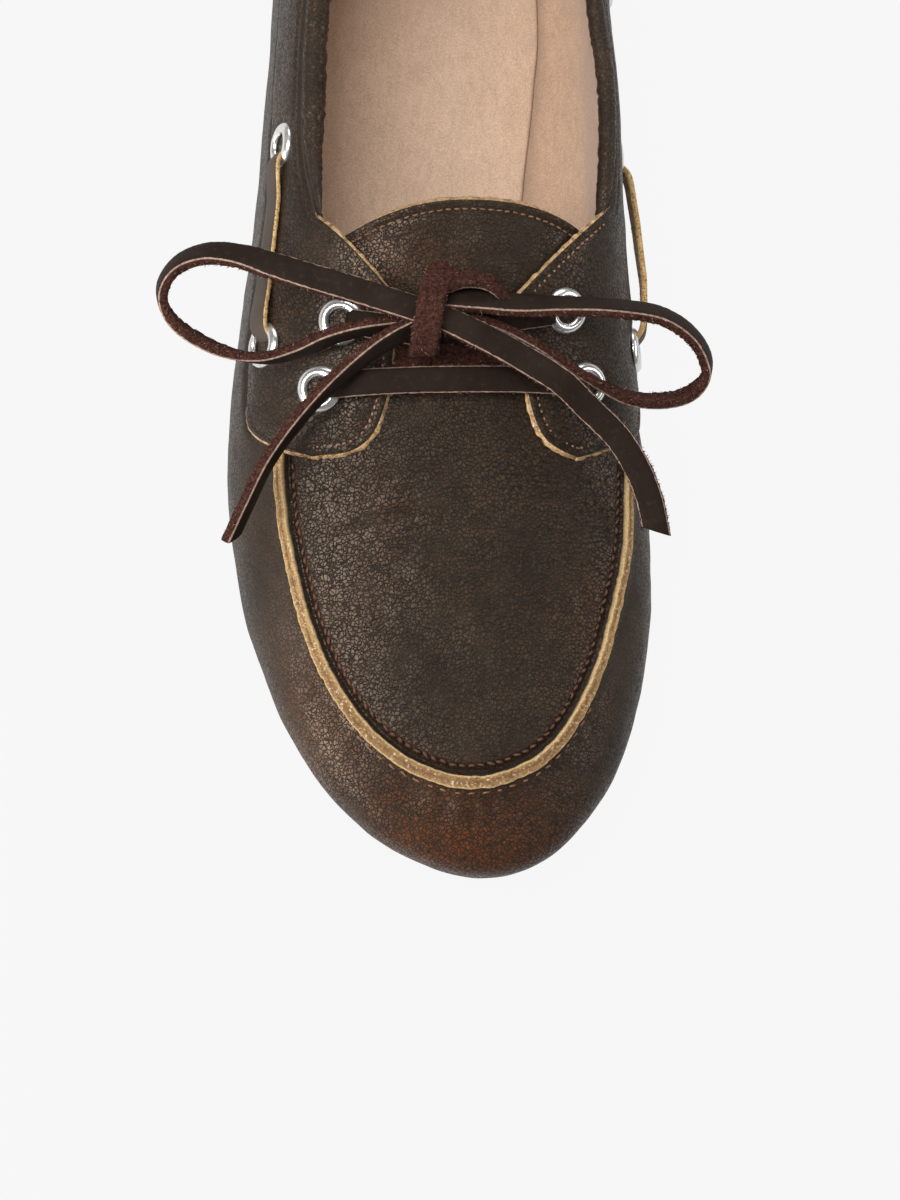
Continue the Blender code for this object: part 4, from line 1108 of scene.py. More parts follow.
def make_tongue():
    """The tongue's top, rising out of the plug and ending in a curve before the opening."""
    rows, cols = 70, 90
    points = np.zeros((rows, cols, 3))
    for j, u in enumerate(np.linspace(-1, 1, cols)):
        side = -1 if u < 0 else 1
        wide = TONGUE_WIDE[side]
        end = TONGUE_END - 0.003 * abs(u * wide - TONGUE_MIDDLE) ** 2.2
        for i, at in enumerate(np.linspace(TONGUE_START, end, rows)):
            turn = turn_of(at, side)
            points[i, j] = on_rib(turn, arc_at_out(turn, max(abs(u) * wide, 0.3)))
    normals = unit(np.cross(np.gradient(points, axis=1), np.gradient(points, axis=0)))
    if normals[..., 2].mean() < 0:
        normals = -normals
    below = WALL + 0.6
    from_end = np.linspace(38, 0, rows)[:, None]
    lift = 0.9 * ease(from_toe(points), 99, 112) - below
    lift = lift - 0.35 * bell(from_end - 2.0, 0.6) + 0.25 * ease(from_end, 2.4, 8)
    lift = lift + crease_height(points, TONGUE_CREASES)
    lift = lift + 0.35 * wrinkle(points, 9.0, 4.0) + 0.12 * wrinkle(points, 3.5, 6.0)
    marks = leather_marks((rows, cols), rust=glow(points, TONGUE_RUST))
    return rimmed_patch("tongue_leather", points, normals, lift, TONGUE_EDGE,
                        [TONGUE_LEATHER, CUT_EDGE], ["tongue"], marks, lambda p: 0 * p[:, 0],
                        bottom=-below - 1.7)


# The bead: how far it goes inside and outside the upper's face, its half height and its
# middle's height over the opening's line, by distance from the corner.
BEAD = {"from_toe": [0, 3, 7, 14, 27, 60], "lateral": [-0.3, 0.5, 1.4, 2.7, 4.2, 4.2],
        "medial": [2.2, 2.7, 2.9, 2.9, 2.9, 2.9], "outside": [0.2, 0.5, 0.7, 0.9, 1.0, 1.0],
        "tall": [0.35, 0.9, 1.4, 1.8, 1.9, 1.9], "high": [0.2, 0.7, 1.1, 1.5, 1.55, 1.55]}
BEAD_HEEL = 3.5  # both sides reach this far inside at the middle of the heel
BEAD_START = {"lateral": 0.4, "medial": -1.2}  # from the corner of the opening


def make_roll():
    """The padded bead along the opening, wrinkled across, with its lining's edge inside."""
    lateral, medial = ([*np.linspace(turn_of(CORNER[name][1][0] + start), 1, 110),
                        *np.linspace(1, 0, 60)[1:]] for name, start in BEAD_START.items())
    turns = [-k for k in lateral] + medial[-2::-1]
    rows = []
    for turn in turns:
        arc = opening_arc(turn)
        rows.append((*surface(turn, arc), on_rib(turn, arc) - on_rib(turn, arc - 1)))
    tops, outs, ups = (smooth_rows(row, times) for row, times in zip(zip(*rows), (3, 6, 6)))
    steps = 16
    verts = []
    for turn, top, normal, up in zip(turns, tops, unit(outs), unit(ups)):
        name = side_name(turn)
        last = BEAD["from_toe"][-1]
        far = max(0.0, float(station(turn)) - CORNER[name][1][0]) if abs(turn) > 1 else last
        inside, outside, tall, high = (float(read(BEAD, key, far))
                                       for key in (name, "outside", "tall", "high"))
        inside += (BEAD_HEEL - inside) * (1 - ease(abs(turn), 0.0, 1.0))
        centre = top - normal * (inside - outside) / 2 + up * high
        for bend in around(steps):
            pucker = 0.10 * rumple(top[0] * 0.9, top[1] * 0.9, bend * 0.5)
            pucker += 0.05 * math.sin(top[1] * 2.1 + 3 * math.sin(top[1] * 0.37))
            grow = 1 + pucker * ease(far, 0, 8)
            verts.append(centre + normal * (inside + outside) / 2 * grow * math.cos(bend)
                         + up * tall * grow * math.sin(bend))
    # Painted shade on the bead's underside, where it faces the band.
    under = [0.75 if step in (13, 14) else 0.0 for step in range(steps)] * len(turns)
    add_mesh("collar_bead", verts, bar_faces(len(turns), steps), [STAY_LEATHER], ["collar_roll"],
             marks=leather_marks(len(verts), painted_shade=under, smooth=0.5))


# ---- stitches and loose fibres ----
# A stitch's rings: place along it, share of its radius, and how far it dips.
STITCH_RINGS = ((0, 0.25, 1.0), (0.14, 0.85, 0.45), (0.4, 1.0, 0.05), (0.6, 1.0, 0.0),
                (0.86, 0.85, 0.45), (1, 0.25, 1.0))
STITCH_SIDES = 6
STITCH_SINK = 0.25


def capsule(a, b, up, radius):
    """A short stitch: a rounded bar from a to b, its ends dipping into the leather."""
    side = unit(np.cross(unit(b - a), up))
    verts = []
    for t, r, drop in STITCH_RINGS:
        centre = a + (b - a) * t - up * drop * (radius + STITCH_SINK)
        for bend in around(STITCH_SIDES):
            verts.append(centre + radius * r * (side * math.cos(bend) * 1.15
                                                + up * math.sin(bend) * 0.85))
    return verts, bar_faces(len(STITCH_RINGS), STITCH_SIDES)


def run_stitches(bundle, line, ups, pitch, share, radius, slot, shake, sideways=0.0):
    """Sews along a line of points: stitches of a share of each pitch."""
    line, ups = np.array(line, float), np.array(ups, float)
    arc = arc_lengths(line)

    def at(rows, place):
        return np.array([np.interp(place, arc, rows[:, i]) for i in range(3)])

    place = pitch * 0.3
    while place + pitch * share < arc[-1]:
        a, b = at(line, place), at(line, place + pitch * share * rng.uniform(0.9, 1.08))
        up = unit(at(ups, place))
        way = unit(np.cross(up, b - a))
        tilt = sideways + rng.uniform(-shake, shake)
        a = a + way * (tilt + rng.uniform(-0.5, 0.5) * shake)
        b = b + way * (-tilt + rng.uniform(-0.5, 0.5) * shake)
        bundle.add(*capsule(a, b, up, radius * rng.uniform(0.88, 1.12)), slot)
        place += pitch * rng.uniform(0.94, 1.06)


def pieces_of(keep):
    """Runs of a closed loop where keep is true, as lists of places."""
    count = len(keep)
    start = next(i for i in range(count) if keep[i] and not keep[i - 1])
    runs, run = [], []
    for step in range(count + 1):
        i = (start + step) % count
        if step < count and keep[i]:
            run.append(i)
        elif run:
            if len(run) > 4:
                runs.append(run)
            run = []
    return runs


def seam_stitches(bundle, turns, offset, *sewing, **more):
    """Stitches beside the raised seam; offset gives the arc length of their line."""
    spots = [surface(k, offset(k)) for k in map(signed_toe, turns)]
    run_stitches(bundle, [p + n * 0.42 for p, n in spots], [n for _, n in spots], *sewing, **more)


def make_stitches(band_rim, tongue_rim):
    sewn = Bundle()
    # Round the plug, on its shoulder, and outside the seam at the toe.
    turns = np.linspace(SEAM_ENDS[0] + 0.012, SEAM_ENDS[1] - 0.012, 260)
    seam_stitches(sewn, turns, lambda k: seam_arc(k) + seam_half(k) + 2.1, 2.0, 0.85, 0.28,
                  DARK_RED, shake=0.32, sideways=0.2)
    seam_stitches(sewn, [turn for turn in turns if abs(signed_toe(turn)) > 2.5],
                  lambda k: seam_arc(k) - seam_half(k) - 0.9, 3.0, 0.7, 0.2, TAN, shake=0.2)
    # Beside the edge of the stays and along the band's foot.
    p, n, out, _ = band_rim
    at = from_toe(p)
    low = (np.abs(p[:, 0]) > 37) & (p[:, 2] < 43) & (at > 90)
    high = np.where(low & (p[:, 0] < 0), 0.5, BAND_THICK - 0.2)
    spots = p - out * STITCH_INSET + n * high[:, None]
    front = (at < by_side(p, {side: CORNER[side][1][0] for side in CORNER}) - 1.5) & ~low
    for keep, slot in ((front, PALE), (low, DARK_RED)):
        for run in pieces_of(keep):
            run_stitches(sewn, spots[run], n[run], 1.5, 0.76, 0.20, slot, shake=0.14)
    p, n, out, lifts = tongue_rim
    spots = p - out * 2.0 + n * (lifts - 0.05)[:, None]
    for run in pieces_of(from_toe(p) > 108):
        run_stitches(sewn, spots[run], n[run], 1.8, 0.8, 0.17, TAN, shake=0.1)
    add_mesh("stitches", sewn.verts, sewn.faces, THREADS, face_slots=sewn.slots)


FIBRE_FACES = [(2, 1, 0), (0, 1, 4, 3), (1, 2, 5, 4), (2, 0, 3, 5), (3, 4, 6), (4, 5, 6), (5, 3, 6)]


def fibre(root, grow, long, radius, hint, taper, sway, along=None):
    """A bent fibre: two rings of three and a tip. It sways along a way, or to its sides."""
    side = unit(np.cross(grow, hint))
    other = np.cross(grow, side)
    knee_way, tip_way = (side, other) if along is None else (along, along)
    ring = [radius * (side * math.cos(b) + other * math.sin(b)) for b in (0, 2.1, 4.2)]
    knee = root + grow * long * 0.6 + knee_way * rng.uniform(-sway[0], sway[0])
    tip = knee + grow * long * 0.4 + tip_way * rng.uniform(-sway[1], sway[1])
    return [root + r for r in ring] + [knee + taper * r for r in ring] + [tip], FIBRE_FACES


FRAY_HINT = (0.31, 0.52, 0.79)


def make_fray(band_rim, tongue_rim):
    """Loose fibres along the cut edges of the stays and the tongue, longest at the corners."""
    frayed = Bundle()
    for (p, n, out, lifts), rim, amount in ((band_rim, BAND_EDGE, 0.9),
                                            (tongue_rim, TONGUE_EDGE, 0.35)):
        along = np.roll(p, -1, axis=0) - p
        at = from_toe(p)
        for i in range(len(p)):
            corner_at, corner_out = CORNER[side_name(p[i, 0])][1]
            gap = math.hypot(abs(p[i, 0]) - corner_out, at[i] - corner_at)
            at_foot = abs(p[i, 0]) > 36 and p[i, 2] < 43
            if at[i] > corner_at + 0.5 or at[i] < STAY_FRONT["lateral"] or at_foot:
                continue
            here = amount * np.linalg.norm(along[i]) * (3.0 if gap < 4 else 1.6)
            for _ in range(int(here + rng.random())):
                way = unit(along[i])
                root = p[i] + along[i] * rng.random() + out[i] * rim * rng.uniform(0.2, 1.0)
                root = root + n[i] * (lifts[i] * rng.uniform(0.55, 0.95))
                grow = unit(out[i] * rng.uniform(0.2, 1.0) + way * rng.uniform(-1.2, 1.2)
                            + n[i] * rng.uniform(-0.2, 0.5))
                long = rng.uniform(0.3, 0.7) + (0.5 if gap < 3 else 0)
                frayed.add(*fibre(root, grow, long, rng.uniform(0.05, 0.10), FRAY_HINT, 0.7,
                                  (0.1, 0.1)))
    add_mesh("edge_fray", frayed.verts, frayed.faces, [CUT_EDGE])


# ---- eyelets ----
# The ring's section: distance from its axis, and height.
EYELET_SECTION = [(2.62, -1.25), (2.62, 0.2), (2.74, 0.62), (3.02, 0.93), (3.4, 1.08), (3.8, 1.07),
                  (4.25, 0.88), (4.65, 0.55), (4.9, 0.2), (4.98, -0.1), (4.9, -0.3)]


def make_eyelets():
    steps, m = 48, len(EYELET_SECTION)
    for (side, index), (p, n) in SEATS.items():
        across = unit(np.cross(n, (0, 0, 1.0)))
        up = np.cross(n, across)
        base = p + n * (BAND_THICK + 0.12)
        verts = []
        tip = rng.uniform(-0.03, 0.03)
        for bend in around(steps):
            out = across * math.cos(bend) + up * math.sin(bend)
            dent = 1 + 0.012 * math.sin(3 * bend + index)
            verts += [base + out * r * dent + n * (z + tip * r * math.cos(bend))
                      for r, z in EYELET_SECTION]
        faces = grid_faces(steps, m, closed_rows=True)
        # The barrel's inner face and the disc closing the hole take the painted hole shadow.
        slots = [1 if i % (m - 1) == 0 else 0 for i in range(len(faces))] + [1] * steps
        verts.append(base + n * EYELET_SECTION[0][1])
        faces += [(i * m, (i + 1) % steps * m, len(verts) - 1) for i in range(steps)]
        label = "%s_%s" % (EYELETS["name"][index], side_name(side))
        add_mesh("ring_" + label, verts, faces, [NICKEL, HOLE_SHADOW], ["eyelet_" + label],
                 face_slots=slots)


# ---- the lace ----
def curve_through(rows, cuts):
    """A smooth curve through a short table of points and directions."""
    rows = np.array(rows, float)
    ends = [2 * rows[0] - rows[1], *rows, 2 * rows[-1] - rows[-2]]
    out = []
    for p0, p1, p2, p3 in zip(ends, ends[1:], ends[2:], ends[3:]):
        for t in np.linspace(0, 1, cuts, endpoint=False):
            out.append(0.5 * (2 * p1 + (p2 - p0) * t + (2 * p0 - 5 * p1 + 4 * p2 - p3) * t * t
                              + (3 * p1 - p0 - 3 * p2 + p3) * t**3))
    return np.array(out + [rows[-1]])


LACE_THICK = 2.1
LACE_CUP = 0.12
SLANT_ROWS = 6  # rows over which a cut end slants
# The lace's section: across, through, and which material the face that starts here has.
LACE_SECTION = [(-0.93, 1.0, 0), (-0.5, 1.03, 0), (0.0, 1.04, 0), (0.5, 1.03, 0), (0.93, 1.0, 1),
                (1.0, 0.72, 2), (1.03, 0.1, 2), (0.98, -0.7, 2), (0.86, -1.0, 2), (0.45, -0.98, 2),
                (0.0, -1.0, 2), (-0.45, -0.98, 2), (-0.86, -1.0, 2), (-0.98, -0.7, 2),
                (-1.03, 0.1, 2), (-1.0, 0.72, 1)]


def strap(name, points, faces_to, stands_for=(), wide=LACE_WIDTH, thick=LACE_THICK, width_at=None,
          fuzz=1.0, seed=0.0, slant=0.0, skin=None):
    """A flat leather lace along points; faces_to are the ways that its smooth side looks."""
    points, faces_to = np.array(points, float), np.array(faces_to, float)
    along = unit(np.gradient(points, axis=0))
    faces_to = faces_to - along * (faces_to * along).sum(axis=1, keepdims=True)
    faces_to = unit(smooth_rows(faces_to, 3))
    across = np.cross(along, faces_to)
    arc = arc_lengths(points)
    count, m = len(points), len(LACE_SECTION)
    verts = []
    for i, p in enumerate(points):
        narrow = 1.0 if width_at is None else float(np.interp(arc[i] / arc[-1], *zip(*width_at)))
        slanted = slant * max(0.0, 1 - (count - 1 - i) / SLANT_ROWS)
        for a, b, _ in LACE_SECTION:
            ragged = 0.0
            if abs(a) > 0.8 or b < 0:
                ragged = fuzz * (0.10 * rumple(arc[i] * 1.3, a * 2 + seed, b)
                                 + 0.11 * rumple(arc[i] * 3.7, a * 5 + seed, b * 3))
            q = p + along[i] * slanted * a
            q = q + across[i] * (a * (wide / 2 * narrow) + a * ragged * 0.9)
            through = b * (thick / 2 + (ragged if b < 0.9 else 0))
            verts.append(q + faces_to[i] * (through - LACE_CUP * a * a))
    bundle = Bundle()
    bundle.add(verts, bar_faces(count, m))
    bundle.slots = [LACE_SECTION[i % m][2] for i in range((count - 1) * m)] + [2, 2]
    add_fibres(bundle, points, along, across, faces_to, arc, wide, thick, fuzz)
    return add_mesh(name, bundle.verts, bundle.faces, skin or LACE_SKIN, stands_for,
                    face_slots=bundle.slots, weld=0.000001)


def add_fibres(bundle, points, along, across, faces_to, arc, wide, thick, fuzz):
    """Loose fibres of the flesh side, mostly along both cut edges."""
    for _ in range(int(arc[-1] * 7 * fuzz)):
        at = rng.uniform(0.3, arc[-1] - 0.3)
        i = min(max(int(np.searchsorted(arc, at)) - 1, 0), len(points) - 2)
        t = (at - arc[i]) / (arc[i + 1] - arc[i])
        p = points[i] * (1 - t) + points[i + 1] * t
        a, f, w = across[i], faces_to[i], along[i]
        if rng.random() < 0.72:
            side = rng.choice((-1, 1))
            root = p + a * side * wide / 2 * 0.98 + f * thick / 2 * rng.uniform(-0.9, 0.6)
            grow = (a * side * rng.uniform(0.4, 1) + f * rng.uniform(-0.7, 0.2)
                    + w * rng.uniform(-1.2, 1.2))
        else:
            root = p + a * wide / 2 * rng.uniform(-0.9, 0.9) - f * thick / 2 * 0.95
            grow = -f * rng.uniform(0.25, 0.8) + a * rng.uniform(-0.8, 0.8) + w * rng.uniform(-1, 1)
        long, radius = rng.uniform(0.3, 0.95), rng.uniform(0.05, 0.11)
        shape = fibre(root, unit(grow), long, radius, w + 0.01, 0.6, (0.12, 0.2), along=w)
        bundle.add(*shape, 1 if rng.random() < 0.2 else 2)


# The bow, as in the CAD: place across, distance from the toe, height; then the way that
# the lace's smooth side looks.
BOW = {
    "lace_knot": [
        (-1.3, 118.4, 63.2, 0.2, -0.6, -0.8), (-3.5, 117.8, 65.7, 0.1, -0.45, -0.9),
        (-6.3, 115.4, 67.8, 0, -0.25, -1), (-7.6, 111.4, 68.6, 0, -0.05, -1),
        (-8.3, 107.2, 68.4, 0, 0.15, -1), (-8.7, 103.8, 66.7, 0, 0.5, -0.9),
        (-8.5, 101.8, 63.7, 0, 1, -0.4), (-8.4, 101.5, 60.8, 0, 1, 0)],
    "lace_loop_lateral": [
        (-7.5, 108.0, 65.5, 0, 0, 1), (-14.6, 110.0, 65.3, -0.05, -0.05, 1),
        (-24.0, 112.6, 65.1, -0.1, -0.05, 1), (-33.7, 115.3, 64.3, -0.12, 0, 0.98),
        (-40.6, 117.7, 62.8, -0.2, 0.15, 0.95), (-47.0, 120.3, 60.4, -0.25, 0.4, 0.87),
        (-53.5, 121.7, 57.3, -0.5, 0.5, 0.7), (-59.0, 120.2, 54.3, -0.85, 0.35, 0.4),
        (-62.0, 116.2, 52.0, -1, 0, 0.1), (-61.4, 111.6, 50.4, -0.85, -0.45, -0.3),
        (-57.4, 107.2, 49.7, -0.5, -0.7, -0.55), (-49.5, 103.1, 50.0, -0.2, -0.8, -0.5),
        (-41.0, 101.4, 51.2, 0, -0.95, -0.25), (-33.1, 102.8, 54.0, 0.15, -1, -0.05),
        (-27.4, 104.6, 57.9, 0.2, -1, 0), (-20.4, 105.9, 61.0, 0.1, -1, 0),
        (-10.0, 107.8, 60.8, 0, -1, 0.1)],
    "lace_loop_medial": [
        (-4.0, 112.6, 64.6, 0, 0.2, 1), (-1.0, 112.0, 65.2, 0, 0.3, 0.95),
        (4.8, 111.4, 66.0, 0, 0.4, 0.92), (10.5, 111.2, 66.0, 0, 0.45, 0.9),
        (19.9, 111.8, 65.5, 0, 0.6, 0.8), (30.0, 112.8, 63.8, 0.05, 0.65, 0.76),
        (40.6, 113.4, 61.0, 0.25, 0.6, 0.75), (46.5, 112.2, 59.0, 0.5, 0.5, 0.7),
        (50.8, 109.8, 57.0, 0.8, 0.25, 0.55), (53.5, 106.5, 55.0, 0.9, -0.1, 0.35),
        (54.0, 103.3, 53.5, 0.85, -0.5, 0), (52.0, 100.3, 52.6, 0.5, -0.75, -0.4),
        (48.6, 98.2, 52.1, 0.2, -0.8, -0.6), (43.0, 97.0, 52.1, 0, -0.78, -0.62),
        (37.2, 97.0, 53.0, -0.05, -0.78, -0.62), (31.9, 98.2, 54.6, -0.05, -0.8, -0.6),
        (26.5, 99.7, 57.2, -0.1, -0.85, -0.5), (19.8, 102.3, 59.4, -0.1, -0.95, -0.3),
        (13.5, 104.7, 61.0, -0.1, -1, -0.1), (7.2, 107.0, 61.6, 0, -1, 0),
        (0.0, 108.8, 61.5, 0, -1, 0)],
    "lace_end_lateral": [
        (-9.0, 107.2, 62.6, 0.4, -0.85, 0.35), (-15.0, 103.9, 61.6, 0.5, -0.8, 0.35),
        (-20.5, 100.2, 59.8, 0.65, -0.7, 0.3), (-27.5, 94.2, 56.0, 0.75, -0.65, 0.25),
        (-33.5, 87.8, 50.6, 0.8, -0.55, 0.25), (-38.6, 80.6, 45.8, 0.85, -0.45, 0.25),
        (-42.0, 73.3, 41.4, 0.9, -0.4, 0.3), (-45.0, 66.3, 37.6, 0.9, -0.4, 0.3)],
    "lace_end_medial": [
        (-7.5, 108.0, 65.5, 0, 0, 1), (-3.6, 106.8, 65.2, 0, 0, 1),
        (2.4, 104.3, 65.3, -0.05, -0.1, 1), (11.0, 101.1, 63.4, -0.15, -0.2, 0.97),
        (20.7, 96.7, 61.2, -0.25, -0.3, 0.92), (27.4, 92.4, 57.8, -0.3, -0.3, 0.9),
        (34.5, 87.6, 54.0, -0.3, -0.3, 0.9), (39.5, 82.6, 49.8, -0.3, -0.35, 0.9),
        (42.9, 77.4, 45.9, -0.28, -0.38, 0.9), (45.2, 71.6, 42.0, -0.25, -0.4, 0.9)],
}
# The lace's turn from the knot's top into the medial loop, rough side out.
KNOT_TURN = [(-4.5, 114.4, 66.6, 0, -0.6, -0.8), (-1.5, 115.2, 67.8, 0, -0.65, -0.76),
             (2.0, 115.5, 67.8, 0, -0.65, -0.76), (5.5, 114.8, 66.8, 0.1, -0.65, -0.76),
             (8.6, 113.0, 64.6, 0.3, -0.6, -0.7)]
BOW_SEED = 3.0  # keeps the ragged edges of the bow's parts apart
LOOSE_ENDS = {"lace_end_lateral": 1.2, "lace_end_medial": -1.6}  # how far each cut end slants


def bow_route(rows):
    rows = curve_through(rows, 14)
    return rows[:, :3] - (0, LENGTH / 2, 0), rows[:, 3:]


def make_bow():
    """The bow's pieces, with the route of each cord in the frame, in metres."""
    made = {}
    for index, name in enumerate(BOW):
        points, faces_to = bow_route(BOW[name])
        obj = strap("bow_" + name[5:], points, faces_to, [name], seed=index * BOW_SEED,
                    fuzz=2.4 if name == "lace_knot" else 1.5, slant=LOOSE_ENDS.get(name, 0.0))
        made[name] = obj, ((points + (*PLACE, 0)) / 1000).tolist()
    made["knot_turn"] = strap("bow_knot_turn", *bow_route(KNOT_TURN), wide=4.6, fuzz=2.4, seed=41.0)
    return made


def over_front(start, end, lifts, count=60):
    """A strap's line over the instep between two places (across, from toe)."""
    points, ups = [], []
    for part in np.linspace(0, 1, count):
        out = start[0] + (end[0] - start[0]) * part
        turn = turn_of(start[1] + (end[1] - start[1]) * part, -1 if out < 0 else 1)
        p, n = surface(turn, arc_at_out(turn, max(abs(out), 0.4)))
        points.append(p + n * float(np.interp(part, *zip(*lifts))))
        ups.append(n)
    return smooth_rows(points, 2), np.array(ups)


def mirrored(half, middle=()):
    """A table of (share, value) with its second half the mirror of the first."""
    return [*half, *middle, *((1 - share, value) for share, value in reversed(half))]


# Heights over the leather and shares of the width, by share of the way.
BAR_LIFT = mirrored([(0, -2.5), (0.035, 1.0), (0.075, 3.0), (0.14, 3.9)], [(0.5, 4.2)])
BAR_WIDTH = mirrored([(0, 0.62), (0.05, 0.75), (0.11, 0.97), (0.16, 1)])
CROSSING_LIFT = mirrored([(0, -0.9), (0.2, -0.4)], [(0.5, 0.5)])
STRAND_LIFT = [(0, -2.5), (0.12, 1.6), (0.28, 3.4), (0.6, 4.0), (1, 4.6)]
STRAND_WIDTH = [(0, 0.62), (0.12, 0.8), (0.25, 1), (1, 1)]
SIDE_WIDTH = mirrored([(0, 0.65), (0.05, 0.8), (0.12, 1)])


def make_front_laces():
    (lower, upper), (lower_medial, upper_medial) = (
        [(side * FRONT_OUT[name][i], EYELETS[name][i]) for i in (0, 1)]
        for side, name in ((-1, "lateral"), (1, "medial")))
    past = 1.2  # the bar reaches this far past the eyelets' middles
    points, ups = over_front((lower[0] - past, lower[1]), (lower_medial[0] + past, lower_medial[1]),
                             BAR_LIFT, 90)
    strap("lace_bar", points, smooth_rows(ups, 12), ["lace_bars"], width_at=BAR_WIDTH, seed=20.0)
    points, ups = over_front((-15, 102.6), (17, 104.8), CROSSING_LIFT)
    strap("lace_crossing", points, -smooth_rows(ups, 8), fuzz=3.0, seed=29.0)
    for name, start, end, seed in (("lace_strand_1", upper, (-5.0, 108.0), 23.0),
                                   ("lace_strand_2", upper_medial, (0.0, 109.5), 26.0)):
        points, ups = over_front(start, end, STRAND_LIFT)
        strap(name, points, smooth_rows(ups, 8), width_at=STRAND_WIDTH, seed=seed)


# Height of the side lace over the wall, by share of its way from hole to hole.
SIDE_LIFT = {
    "lateral": mirrored([(0, -0.6), (0.03, 1.4), (0.08, 3.1), (0.15, 3.0),
                         (0.27, 1.9 + SIDE_BOW["lateral"])]),
    "medial": [(0, -0.6), (0.03, 1.6), (0.08, 3.6), (0.15, 4.2), (0.35, 3.3 + SIDE_BOW["medial"]),
               (0.65, 3.2 + SIDE_BOW["medial"]), (0.85, 4.3), (0.92, 3.7), (0.97, 1.6), (1, -0.6)],
}
SIDE_THICK = {"lateral": 1.05, "medial": 1.3}


def make_side_laces():
    for side, name in ((-1, "lateral"), (1, "medial")):
        for label, first in (("front", 2), ("back", 4)):
            points, ups = [], []
            for part in np.linspace(0, 1, 80):
                turn, high = (a + (b - a) * part for a, b in (
                    (eyelet_turn(side, first), eyelet_turn(side, first + 1)),
                    SIDE_HIGH[name][first - 2 : first]))
                p, n = surface(turn, arc_at_height(turn, high))
                points.append(p + n * float(np.interp(part, *zip(*SIDE_LIFT[name]))))
                ups.append(n)
            strap("side_strap_%s_%s" % (label, name), smooth_rows(points, 4), smooth_rows(ups, 10),
                  ["side_lace_%s_%s" % (label, name)], width_at=SIDE_WIDTH, fuzz=0.25,
                  seed=30.0 + first + side, thick=SIDE_THICK[name], skin=SIDE_SKIN)


# ---- soles ----
def level_rings(turns, reach_out, levels):
    """Rings round the foot line, each (inset, height at a distance from the toe)."""
    rings = []
    for inset, high in levels:
        flat = [foot_point(turn, reach_out - inset) for turn in turns]
        rings.append([(x, y, high(y + LENGTH / 2)) for x, y in flat])
    return rings


def slab(name, turns, reach_out, levels, material, stands_for):
    """A level piece inside the foot line, with a fine grid across its two faces."""
    rings = level_rings(turns, reach_out, levels)
    m = len(turns)
    verts = [p for ring in rings for p in ring]
    faces = grid_faces(len(rings), m, closed_cols=True)
    starts = [rib(turn)["start"] for turn in turns]
    for ring, base in ((rings[0], 0), (rings[-1], (len(rings) - 1) * m)):
        high = levels[0 if base == 0 else -1][1]
        last = range(base, base + m)
        for share in (0.8, 0.6, 0.4, 0.2, 0.0):
            now = range(len(verts), len(verts) + m)
            flat = [start + (np.array(p[:2]) - start) * share for start, p in zip(starts, ring)]
            verts += [(x, y, high(y + LENGTH / 2)) for x, y in flat]
            faces += [(last[i - 1], last[i], now[i], now[i - 1]) for i in (*range(1, m), 0)]
            last = now
    add_mesh(name, verts, faces, [material], stands_for)


def make_outsole():
    def top(at):
        return foot_height(at) - 0.3

    def bottom(at):
        return max(0.0, top(at) - SOLE)

    def under(share, less=0.0):
        """The height at a share of the way down, or a distance below the top."""
        return lambda at: top(at) - (top(at) - bottom(at)) * share - less

    levels = [(1.2, top), (0.35, under(0, 0.12)), (0.0, under(0, 0.6)), (0.0, under(0.45)),
              (0.25, under(0.5)), (0.05, under(0.56)), (0.2, lambda at: bottom(at) + 0.7),
              (1.0, lambda at: bottom(at) + 0.05), (1.6, bottom)]
    slab("outsole_welt", ring_turns(14, 40, 26), 1.5, levels, RUBBER, ["outsole"])


LIFT_FRONT = 197  # distance from the toe at which the heel block begins


def make_heel_lift():
    under = foot_height(LENGTH) - 0.6 - SOLE
    half = [*np.linspace(0, 1, 16), *np.linspace(1, turn_of(LIFT_FRONT), 6)[1:]]
    edge = [-k for k in half[::-1]] + half[1:]
    verts = []
    levels = ((0.5, under), (0.0, under - 0.4), (0.0, under * 0.5 + 0.2), (0.2, under * 0.5),
              (0.0, under * 0.5 - 0.2), (0.15, 0.6), (0.7, 0.0))
    for inset, high in levels:
        for k in edge:
            x, y = foot_point(k, 0.9 - inset)
            verts.append((x, y + (inset if abs(k) > 1.15 else 0), high))
    add_mesh("heel_top_lift", verts, bar_faces(len(levels), len(edge)), [RUBBER], ["heel_lift"])


def make_footbed():
    def cover(less):
        return lambda at: foot_height(at) + 0.4 + INSOLE - less

    levels = [(0.0, cover(1.4)), (0.1, cover(0.5)), (0.5, cover(0.1)), (1.1, cover(0.0))]
    slab("footbed", ring_turns(24, 80, 40), -(WALL + 0.9), levels, FOOTBED, ["insole"])


# ---- stage ----
FLOOR_GREY = 0.925
FLOOR_GLOW = 0.985  # how much of the floor's brightness is its own


def make_stage():
    floor = Graph("floor", 1.0, Specular_IOR_Level=0.0, Base_Color=(0.9, 0.9, 0.9, 1))
    own = floor.add("Emission", {"Color": (FLOOR_GREY, FLOOR_GREY, FLOOR_GREY, 1)})
    both = floor.add("MixShader", {0: FLOOR_GLOW, 1: floor.shader.outputs[0], 2: own})
    floor.fill(floor.tree.nodes["Material Output"], {"Surface": both})
    mesh = bpy.data.meshes.new("floor")
    s, z = 3.0, CAD_BOX[0][2] - 0.0003
    mesh.from_pydata([(-s, -s, z), (s, -s, z), (s, s, z), (-s, s, z)], [], [(0, 1, 2, 3)])
    mesh.materials.append(floor.material)
    place_object("floor", mesh)


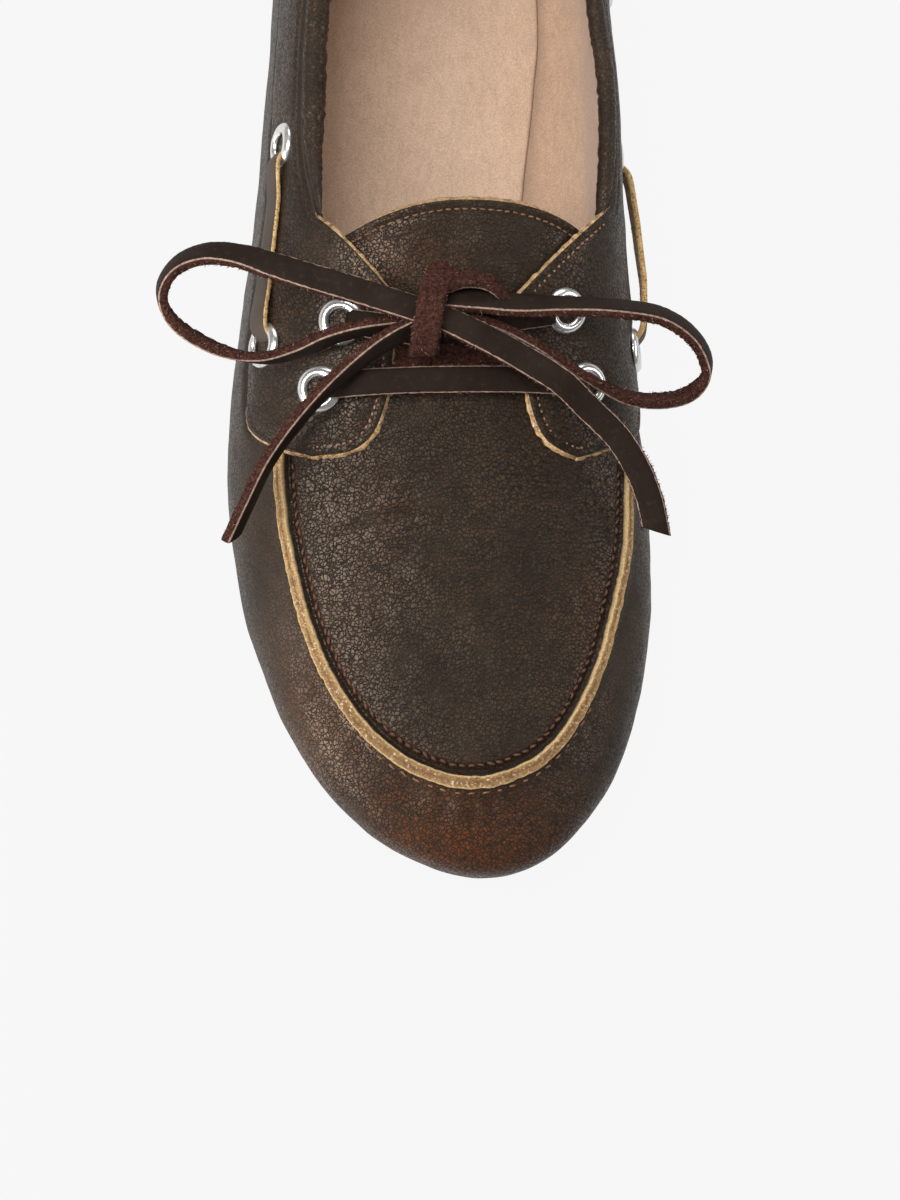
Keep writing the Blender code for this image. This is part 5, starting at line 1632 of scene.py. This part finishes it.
def area_light(name, place, target, size, power):
    light = bpy.data.lights.new(name, "AREA")
    light.shape = "RECTANGLE"
    light.size, light.size_y = size
    light.energy = power
    obj = place_object(name, light)
    obj.location = place
    obj.rotation_euler = (Vector(target) - Vector(place)).to_track_quat("-Z", "Y").to_euler()


def make_light():
    scene = bpy.context.scene
    scene.view_settings.view_transform = "Standard"
    scene.world = bpy.data.worlds.new("studio")
    scene.world.use_nodes = True
    sky = scene.world.node_tree.nodes["Background"].inputs
    sky["Color"].default_value = (1, 1, 1, 1)
    sky["Strength"].default_value = 0.25
    area_light("key", (-0.47, -0.16, 0.86), (0, -0.03, 0.04), (0.36, 0.70), 10.4)
    area_light("back", (0.05, 0.80, 0.72), (0, 0.02, 0.02), (0.9, 0.5), 4.4)
    area_light("left_front", (-0.80, -0.50, 0.10), (0, -0.09, 0.03), (0.50, 0.30), 8.0)
    area_light("right", (0.80, 0.0, 0.55), (0, 0, 0.04), (0.8, 0.25), 3.0)


CAMERA_LEAN = (10, 18)  # degrees off the vertical, to the lateral side and to the toe
CAMERA_TARGET = (0.0003, -0.07105, 0.030)
CAMERA_AWAY = 0.850


def make_camera():
    lean = [-math.tan(math.radians(angle)) for angle in CAMERA_LEAN]
    away = Vector((*lean, 1.0)).normalized()
    data = bpy.data.cameras.new("camera")
    data.lens = 120
    data.sensor_width = 36
    data.clip_start, data.clip_end = 0.05, 10
    right = (-away).cross(Vector((0, 1, 0))).normalized()
    up = right.cross(-away).normalized()
    turn = Matrix((right, up, away)).transposed()
    camera = place_object("camera", data)
    place = Vector(CAMERA_TARGET) + away * CAMERA_AWAY
    camera.matrix_world = Matrix.Translation(place) @ turn.to_4x4()
    bpy.context.scene.camera = camera


make_camera()
make_bow()
make_front_laces()
make_side_laces()
make_upper()
make_lining()
make_moc_seam()
band_rim = make_band()
tongue_rim = make_tongue()
make_roll()
make_stitches(band_rim, tongue_rim)
make_fray(band_rim, tongue_rim)
make_eyelets()
make_outsole()
make_heel_lift()
make_footbed()
make_stage()
make_light()
